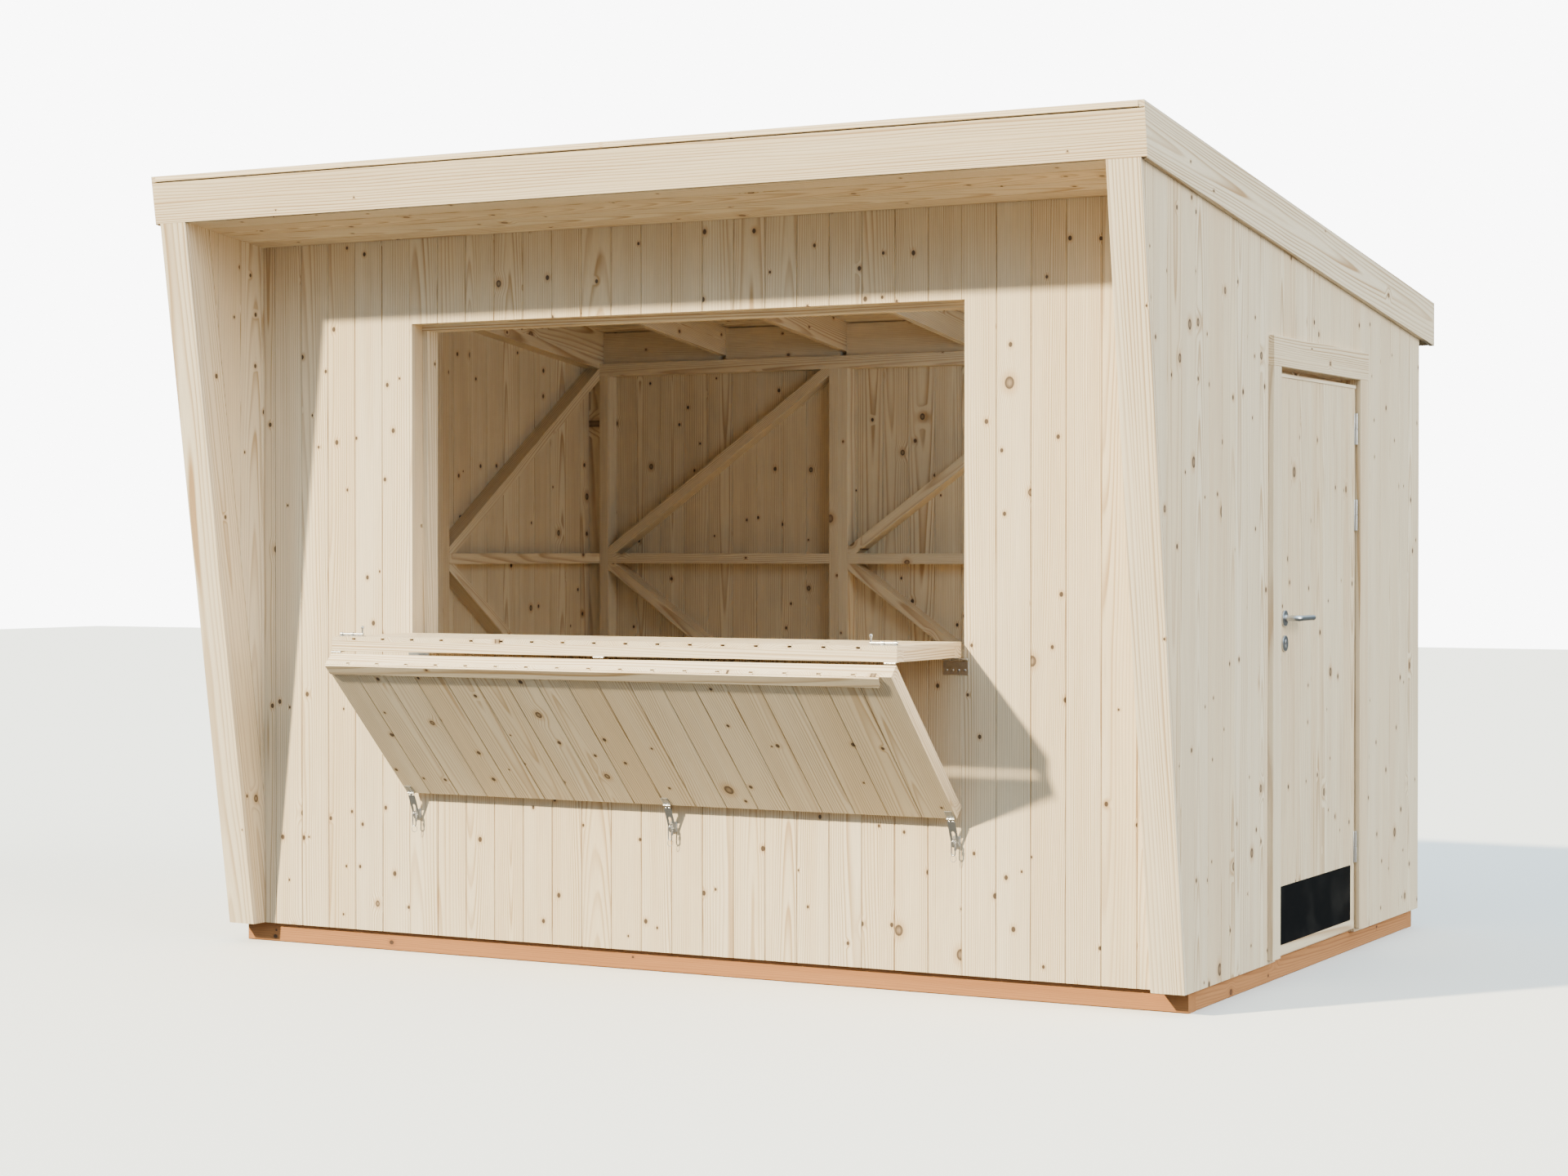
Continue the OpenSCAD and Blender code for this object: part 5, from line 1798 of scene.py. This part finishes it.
            path = np.column_stack([x + sign * flat[:, 0], handle_y + flat[:, 1], np.full(len(flat), handle_z)])
            lever.swept(path, r, 24)
            lever.turned((x + sign * reach, handle_y + length - 0.0045, handle_z), Y_AXIS, [
                (0.0, r), (0.002, r), (0.004, r * 0.9), (0.0045, r * 0.7)], 24)
            lever.turned((x, handle_y, handle_z), sign * X_AXIS, [
                (0.0069, 0.0105), (0.0095, 0.0105), (0.0105, 0.0098), (0.0105, 0.0088)], 28)
        spindle = [(0.0, 0.0045), (s.half_w - self.in_x, 0.0045)]
        lever.turned((self.in_x, handle_y, handle_z), X_AXIS, spindle, 12)
        lever.build("lever", finishes.zinc, ["door_lever"])


@dataclass
class Hatch:
    """Counter leaf and strut leaf with their hinges, bolts and hasps."""

    shell: Shell
    half_w: float = 0.986
    board: float = 0.014
    depth: float = 0.032
    bar_w: float = 0.044
    counter_d: float = 0.428
    fold_gap: float = 0.008
    board_joint: float = 0.762
    bays: int = 3
    plate: float = 0.002

    def __post_init__(self) -> None:
        """Works out the axes that both leaves are laid down about."""
        s = self.shell
        front = s.front_y
        self.counter_axis = (front - 0.006, 0.996)
        self.counter_z0 = self.counter_axis[1] + 0.003
        self.counter_z1 = self.counter_z0 + self.counter_d
        self.fold_axis = (front - 0.003, self.counter_z1 + self.fold_gap / 2)
        self.strut_z0 = self.fold_axis[1] + self.fold_gap / 2
        self.strut_l = 0.613
        self.strut_z1 = self.strut_z0 + self.strut_l
        self.inner_y = front + self.depth
        self.back_y = self.inner_y + self.board
        strut_turn = math.radians(180.0 - 44.8906)
        self.hasp_axis = (self.back_y + 0.004, self.fold_axis[1] + self.strut_l + self.fold_gap / 2 - 0.002)
        down = Turn(self.counter_axis, math.pi / 2)
        self.counter_place = Turns((down,))
        self.strut_place = Turns((down, Turn(self.fold_axis, strut_turn)))
        self.strap_place = Turns((down, Turn(self.fold_axis, strut_turn),
                                  Turn(self.hasp_axis, math.radians(157.875))))

    def build(self, finishes: Finishes) -> None:
        """Builds both leaves and all their fittings."""
        self._leaf("counter", self.counter_place, self.counter_z0, self.counter_z1, 151, finishes)
        self._leaf("strut", self.strut_place, self.strut_z0, self.strut_z1, 155, finishes)
        self._cover(finishes)
        self._counter_hinges(finishes)
        self._fold_hinges(finishes)
        self._bolts(finishes)
        self._hasps(finishes)
        self._staples(finishes)

    def _leaf(self, body: str, place: Turns, z0: float, z1: float, seed: int, finishes: Finishes) -> None:
        """Builds one leaf: upright boards on a frame of bars.

        Args:
            body: Name of the body, and of the nodes it holds.
            place: How the closed leaf comes to where it rests.
            z0: Lower edge of the closed leaf.
            z1: Its upper edge.
            seed: Seed of its random numbers.
            finishes: The stall's finishes.
        """
        front = self.shell.front_y
        boards = Pile(f"{body}_planks", seed, place)
        axes = upright(0.0, self.inner_y, -X_AXIS, Y_AXIS)
        Cladding(axes, (-self.half_w, self.half_w), self.board, -self.board_joint, [level(z0)],
                 [level(z1)]).lay(boards)
        boards.build(body, finishes.boards, "boards", [f"{body}_boards"])
        bars = Pile(f"{body}_bars", seed + 1, place)
        x, w = self.half_w, self.bar_w
        for low in (z0, z1 - w):
            bar(bars, (-x, front, low), (x, self.inner_y, low + w), 0, 1)
        bay = (2 * x - w) / self.bays
        for i in range(self.bays + 1):
            bar(bars, (-x + i * bay, front, z0 + w), (-x + i * bay + w, self.inner_y, z1 - w), 2, 1)
        bars.build(body, finishes.trim, "trim", [f"{body}_frame"])

    def _cover(self, finishes: Finishes) -> None:
        """Thin batten over the gap between the leaves, with a bevelled right end."""
        low_x, high_x, t = -self.half_w + 0.002, self.half_w - 0.038, 0.006
        pile = Pile("cover_strip", 159, self.strut_place)
        axes = Axes(np.array([0.0, self.back_y, self.strut_z0]), X_AXIS, Z_AXIS, Y_AXIS)
        end = Plane((high_x - 0.012, self.back_y + t, self.strut_z0 + 0.040), (1.0, 0.35, 0.28))
        pile.board(axes, (0.001, 0.040), t, [across_x(low_x)], [across_x(high_x), end])
        pile.build("strut", finishes.trim, "trim", ["cover_batten"])

    def _counter_hinges(self, finishes: Finishes) -> None:
        """Wall plates, pins and leaf plates of the hinges under the counter's ends."""
        s = self.shell
        front = s.front_y
        wall = Smithy("counter_wall_hinges")
        leaf = Smithy("counter_leaf_plates", self.counter_place)
        length = 0.082
        for side in (-1, 1):
            middle = side * (self.half_w - length / 2 + 0.020)
            start = middle - length / 2
            wall.plate((middle, front, 0.994 - 0.024), X_AXIS, Z_AXIS, rounded(length, 0.040, 0.003),
                       self.plate)
            for near, far in ((0.0, 0.026), (0.0265, 0.0555), (0.056, length)):
                wall.turned((start + near, *self.counter_axis), X_AXIS, [
                    (0.0, 0.0033), (0.0006, 0.004), (far - near - 0.0006, 0.004), (far - near, 0.0033)], 20)
            web = rounded(length, 0.0055, 0.0006, 3)
            wall.plate((middle, front - 0.0005, 0.9925), X_AXIS, Y_AXIS, web + np.array([0.0, -0.0025]), 0.0018)
            for share in (-0.36, -0.12, 0.12, 0.36):
                wall.screw((middle + share * length, front - self.plate + 0.0001, 0.994 - 0.030), -Y_AXIS, 0.0038)
            # The plate on the leaf's underside, set in between the gap and the first bar
            plate = rounded(0.040, 0.030, 0.002)
            centre = (side * (self.half_w - 0.024), front + 0.0004, self.counter_z0 + 0.018)
            leaf.plate(centre, X_AXIS, Z_AXIS, plate, 0.0022)
        wall.build("stall", finishes.zinc, ["counter_hinges"])
        leaf.build("counter", finishes.zinc)

    def _fold_hinges(self, finishes: Finishes) -> None:
        """Small hinges between the two leaves."""
        front = self.shell.front_y
        length = 0.036
        fold = Smithy("leaf_fold_hinges", self.counter_place)
        for x in (-(self.half_w - length / 2 - 0.002), 0.0, self.half_w - length / 2 - 0.002):
            start = x - length / 2
            for near, far in ((0.0, 0.0115), (0.012, 0.024), (0.0245, length)):
                fold.turned((start + near, *self.fold_axis), X_AXIS, [
                    (0.0, 0.0025), (0.0004, 0.003), (far - near - 0.0004, 0.003), (far - near, 0.0025)], 16)
            fold.plate((x, front, self.counter_z1 - 0.008), X_AXIS, Z_AXIS, rounded(length, 0.020, 0.0015),
                       self.plate)
            fold.plate((x, self.fold_axis[0] + self.plate, self.counter_z1 + 0.0018), X_AXIS, Z_AXIS,
                       rounded(length, 0.0036, 0.0006, 3), self.plate)
            for share in (-0.3, 0.3):
                fold.screw((x + share * length, front - self.plate + 0.0001, self.counter_z1 - 0.010), -Y_AXIS, 0.0028)
        fold.build("counter", finishes.zinc, ["fold_hinges"])

    def _bolts(self, finishes: Finishes) -> None:
        """Barrel bolts near the counter's front corners: plates, guides, rods and knobs."""
        bolt_y, bolt_z, end = self.back_y + 0.007, self.counter_z1 - 0.030, self.half_w - 0.010
        plates = Smithy("bolt_plates", self.counter_place)
        rods = {-1: Smithy("bolt_rod_left", self.counter_place), 1: Smithy("bolt_rod_right", self.counter_place)}
        r = 0.0035
        for side, rod in rods.items():
            x = side * (end - 0.045)
            plates.plate((x, self.back_y, bolt_z), -X_AXIS, Z_AXIS, rounded(0.090, 0.028, 0.002), 0.0015, 0.0003)
            for share in (-0.43, -0.22, 0.2, 0.43):
                for rise in (-0.0095, 0.0095):
                    plates.screw((x + share * 0.090, self.back_y + 0.0014, bolt_z + rise), Y_AXIS, 0.0026)
            for at in (0.008, 0.048):
                self._guide(plates, side * (end - at), bolt_y, bolt_z)
            start = np.array([side * end, bolt_y, bolt_z])
            rod.turned(start, -side * X_AXIS, [(0.0, 0.0028), (0.0008, r), (0.0895, r), (0.090, 0.0030)], 20)
            knob = start - side * 0.0865 * X_AXIS
            rod.turned(knob, Y_AXIS, [
                (0.0, 0.003), (0.014, 0.003), (0.0158, 0.0036), (0.018, 0.0047), (0.021, 0.005),
                (0.0238, 0.0042), (0.0258, 0.0015)], 20)
        plates.build("counter", finishes.zinc, ["bolt_barrels"])
        rods[-1].build("left_bolt", finishes.zinc, ["bolt_left"])
        rods[1].build("right_bolt", finishes.zinc, ["bolt_right"])

    def _guide(self, plates: Smithy, x: float, bolt_y: float, bolt_z: float) -> None:
        """Bends one guide over the rod: feet on the plate and an arch between them."""
        width, base, outer, inner = 0.008, self.back_y + 0.001, 0.0055, 0.0041
        turn = np.linspace(0.0, math.pi, 13)
        arch_out = np.column_stack([np.cos(turn) * outer, bolt_y + np.sin(turn) * outer])
        arch_in = np.column_stack([np.cos(turn) * inner, bolt_y + np.sin(turn) * inner])[::-1]
        feet_out = [(0.008, base), (0.008, base + 0.0014), (outer, base + 0.0014)]
        other_out = [(-outer, base + 0.0014), (-0.008, base + 0.0014), (-0.008, base)]
        shape = np.vstack([feet_out, arch_out, other_out, [(-inner, base)], arch_in, [(inner, base)]])
        outline = np.column_stack([shape[:, 0], shape[:, 1]])
        u, v = Z_AXIS, Y_AXIS
        rings = [np.array([at, 0.0, bolt_z]) + outline[:, :1] * u + outline[:, 1:] * v
                 for at in (x + width / 2, x - width / 2)]
        plates._prism(rings, len(outline))

    def _hasps(self, finishes: Finishes) -> None:
        """Hasp plates on the strut leaf and their slotted straps."""
        y, z = self.hasp_axis
        width, third = 0.026, 0.026 / 3
        xs = (-(self.half_w - 0.018), 0.0, self.half_w - 0.018)
        plates = Smithy("hasp_plate_set", self.strut_place)
        straps = Smithy("hasp_strap_set", self.strap_place)
        for x in xs:
            outline = rounded(width, 0.029, 0.0015, 3, (0.0, -0.0145 - 0.003))
            plates.plate((x, self.back_y, z), -X_AXIS, Z_AXIS, outline, self.plate)
            for rise in (-0.011, -0.024):
                for share in (-0.27, 0.27):
                    plates.screw((x + share * width, self.back_y + self.plate - 0.0001, z + rise), Y_AXIS, 0.003)
            for side in (-1, 1):
                start = x + side * third - third / 2
                plates.turned((start + 0.0003, y, z), X_AXIS, [
                    (0.0, 0.0029), (0.0005, 0.0035), (third - 0.0011, 0.0035), (third - 0.0006, 0.0029)], 18)
                plates.plate((x + side * third, self.back_y, z - 0.003), -X_AXIS, Z_AXIS,
                             rounded(third - 0.0006, 0.006, 0.0004, 3), self.plate)
            straps.turned((x - third / 2 + 0.0003, y, z), X_AXIS, [
                (0.0, 0.0029), (0.0005, 0.0035), (third - 0.0011, 0.0035), (third - 0.0006, 0.0029)], 18)
            straps.plate((x, y - self.plate / 2, z - 0.004), -X_AXIS, Z_AXIS,
                         rounded(third - 0.0010, 0.008, 0.0004, 3), self.plate)
            outer = rounded(width, 0.088, 0.006, 5, (0.0, -0.050))
            slot = rounded(0.010, 0.046, 0.0048, 5, (0.0, -0.063))
            straps.plate((x, y - self.plate / 2, z), -X_AXIS, Z_AXIS, outer, self.plate, 0.0004, [slot])
        plates.build("strut", finishes.dull_zinc, ["hasp_plates"])
        straps.build("straps", finishes.zinc, ["hasp_straps"])

    def _staples(self, finishes: Finishes) -> None:
        """Staples on the wall with their plates, the oval links, and a thin grey loop under each link that is painted
        shadow of the link, made as dull wire.
        """
        s = self.shell
        front = s.front_y
        low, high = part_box("hasp_staples")
        middle_z = (low.z + high.z) / 2
        staples = Smithy("hasp_staple_set")
        links = Smithy("hasp_links")
        shadow_loops = Smithy("hasp_link_shadow_loops")
        reach, half, r = 0.028, 0.008, 0.002
        for x in (-(self.half_w - 0.018), 0.0, self.half_w - 0.018):
            staples.plate((x, front, middle_z), X_AXIS, Z_AXIS, rounded(0.024, 0.032, 0.0025), 0.0015, 0.0003)
            for rise in (-0.0125, 0.0125):
                staples.screw((x, front - 0.0014, middle_z + rise), -Y_AXIS, 0.0026)
            turn = np.linspace(-math.pi / 2, math.pi / 2, 13)
            bow = np.column_stack([-(reach - half) - np.cos(turn) * half, np.sin(turn) * half])
            leg = np.array([[-0.001, 0.0], [-0.010, 0.0], [-(reach - half) + 0.002, 0.0]])
            flat = np.vstack([leg + [0.0, -half], bow, (leg + [0.0, half])[::-1]])
            path = np.column_stack([np.full(len(flat), x), front + flat[:, 0], middle_z + flat[:, 1]])
            staples.swept(path, r, 12)
            self._link(links, x, front - 0.0235, middle_z - 0.004)
            # Painted shadow: a thin grey loop under the link stands for the link's cast shadow
            self._hang_shadow_loop(shadow_loops, x, front - 0.0235, middle_z - 0.041)
        staples.build("stall", finishes.zinc, ["hasp_staples"])
        links.build("stall", finishes.zinc)
        shadow_loops.build("stall", finishes.dull_zinc)

    @staticmethod
    def _link(links: Smithy, x: float, y: float, top: float) -> None:
        """Hangs an oval link, with a nut on one side, from a staple's bow."""
        turn = np.linspace(0.0, math.pi, 15)
        half, straight, r = 0.0062, 0.030, 0.0021
        upper = np.column_stack([np.cos(turn) * half, np.sin(turn) * half])
        lower = np.column_stack([-np.cos(turn) * half, -straight - np.sin(turn) * half])
        sides = np.linspace(0.0, -straight, 6)[1:-1]
        left = np.column_stack([np.full(4, -half), sides])
        right = np.column_stack([np.full(4, half), sides[::-1]])
        flat = np.vstack([upper, left, lower, right])
        lean = 0.12
        path = np.column_stack([x + flat[:, 0], y - 0.001 - flat[:, 1] * lean * 0.2, top + flat[:, 1]])
        links.swept(path, r, 12, closed=True)
        links.turned((x + half, y - 0.001 + 0.002, top - 0.021), Z_AXIS, [
            (0.0, 0.0034), (0.0004, 0.0038), (0.0096, 0.0038), (0.010, 0.0034)], 6)

    @staticmethod
    def _hang_shadow_loop(shadow_loops: Smithy, x: float, y: float, top: float) -> None:
        """Hangs a thin grey loop of dull wire from a link's lower bow, a little turned; it is painted shadow, standing
        in for the grey shadow loop that the link casts.
        """
        turn = np.linspace(0.0, 2 * math.pi, 29)[:-1]
        flat = np.column_stack([np.sin(turn) * 0.0085, np.cos(turn) * 0.010])
        # Painted shadow of the link, drawn as a thin dull wire loop
        path = np.column_stack([x + flat[:, 0] * 0.86, y + flat[:, 0] * 0.5, top - 0.0085 + flat[:, 1]])
        shadow_loops.swept(path, 0.0008, 8, closed=True)


@dataclass
class Studio:
    """Pale floor, daylight from the left front, and the camera."""

    sun_direction: tuple[float, float, float] = (0.451, 0.710, -0.541)
    sun_colour: Colour = (1.0, 0.86, 0.58)
    sun_strength: float = 12.5
    sun_angle: float = 2.6
    fill_direction: tuple[float, float, float] = (-0.93, 0.10, -0.36)
    fill_colour: Colour = (1.0, 0.97, 0.86)
    fill_strength: float = 4.4
    fill_angle: float = 50.0
    sky: Colour = (0.66, 0.87, 1.0)
    sky_strength: tuple[float, float] = (0.07, 2.1)
    backdrop_strength: float = 9.0
    room_place: tuple[float, float, float] = (1.25, -0.35, 2.05)
    room_direction: tuple[float, float, float] = (-0.72, 0.52, -0.30)
    room_size: float = 0.7
    room_strength: float = 11.0
    floor_colour: Colour = (0.95, 0.95, 0.94)
    floor_bounce: Colour = (0.02, 0.02, 0.02)
    floor_size: float = 60.0
    camera: tuple[float, float, float] = (4.6194, -8.9324, 1.3185)
    yaw: float = 28.432
    pitch: float = -0.747
    lens: float = 67.1
    sensor: float = 36.0

    def build(self) -> None:
        """Sets the stage."""
        self._floor()
        self._lamp("sun", self.sun_direction, self.sun_colour, self.sun_strength, self.sun_angle)
        self._lamp("fill", self.fill_direction, self.fill_colour, self.fill_strength, self.fill_angle)
        self._room_lamp()
        self._sky()
        self._camera()

    def _floor(self) -> None:
        """Lays a wide plain floor."""
        half = self.floor_size / 2
        mesh = bpy.data.meshes.new("floor")
        mesh.from_pydata([(-half, -half, 0), (half, -half, 0), (half, half, 0), (-half, half, 0)], [], [(0, 1, 2, 3)])
        floor = bpy.data.objects.new("studio_floor", mesh)
        bpy.context.scene.collection.objects.link(floor)
        net = Net(bpy.data.materials.new("studio_floor"))
        place = net.node("ShaderNodeTexCoord").outputs["Object"]
        seen = Signal(net, net.node("ShaderNodeLightPath").outputs["Is Camera Ray"])
        pale = net.mix(net.noise(place, 0.6, 3.0) * 0.2, self.floor_colour, (0.97, 0.97, 0.96))
        mesh.materials.append(net.finish(net.mix(seen, self.floor_bounce, pale), 0.75, None, 0.0))

    @staticmethod
    def _lamp(name: str, direction: Sequence[float], colour: Colour, strength: float, angle: float) -> None:
        """Hangs a distant light.

        Args:
            name: Its name.
            direction: Where its light travels.
            colour: Its colour.
            strength: Its strength.
            angle: Angle in degrees that it seems across, which softens the shadows' edges.
        """
        light = bpy.data.lights.new(name, "SUN")
        light.energy, light.color, light.angle = strength, colour, math.radians(angle)
        lamp = bpy.data.objects.new(name, light)
        lamp.rotation_euler = Vector(direction).to_track_quat("-Z", "Y").to_euler()
        bpy.context.scene.collection.objects.link(lamp)

    def _room_lamp(self) -> None:
        """Hangs a soft lamp inside the stall, so that its frames can be made out."""
        light = bpy.data.lights.new("room", "AREA")
        light.energy, light.size, light.color = self.room_strength, self.room_size, self.sky
        lamp = bpy.data.objects.new("room", light)
        lamp.location = self.room_place
        lamp.rotation_euler = Vector(self.room_direction).to_track_quat("-Z", "Y").to_euler()
        lamp.visible_camera = False
        bpy.context.scene.collection.objects.link(lamp)

    def _sky(self) -> None:
        """Surrounds the scene with even light, in front of a white backdrop."""
        world = bpy.data.worlds.new("sky")
        net = Net(world)
        height = net.split(net.node("ShaderNodeTexCoord").outputs["Generated"])[2]
        strength = height.steps(-0.05, 0.75, *self.sky_strength)
        light = net.node("ShaderNodeBackground", {}, {"Color": self.sky, "Strength": strength})
        backdrop = net.node("ShaderNodeBackground", {}, {"Color": (1.0, 1.0, 1.0), "Strength": self.backdrop_strength})
        seen = net.node("ShaderNodeLightPath").outputs["Is Camera Ray"]
        choice = net.node("ShaderNodeMixShader", {}, {0: seen, 1: light.outputs[0], 2: backdrop.outputs[0]})
        net.node("ShaderNodeOutputWorld", {}, {"Surface": choice.outputs[0]})
        bpy.context.scene.world = world

    def _camera(self) -> None:
        """Stands the camera in front, to the right."""
        data = bpy.data.cameras.new("camera")
        data.lens = self.lens
        data.sensor_width = self.sensor
        camera = bpy.data.objects.new("camera", data)
        yaw, pitch = math.radians(self.yaw), math.radians(self.pitch)
        camera.location = self.camera
        camera.rotation_euler = (math.pi / 2 + pitch, 0.0, yaw)
        bpy.context.scene.collection.objects.link(camera)
        bpy.context.scene.camera = camera


def main() -> None:
    """Builds the stall and its stage."""
    logging.basicConfig(level=logging.INFO, format="%(message)s")
    shell = Shell.from_frame()
    finishes = Finishes()
    Studio().build()
    for assembly in (Base(shell), Walls(shell), Roof(shell), Doorway(shell), Hatch(shell)):
        assembly.build(finishes)


if __name__ == "__main__":
    main()
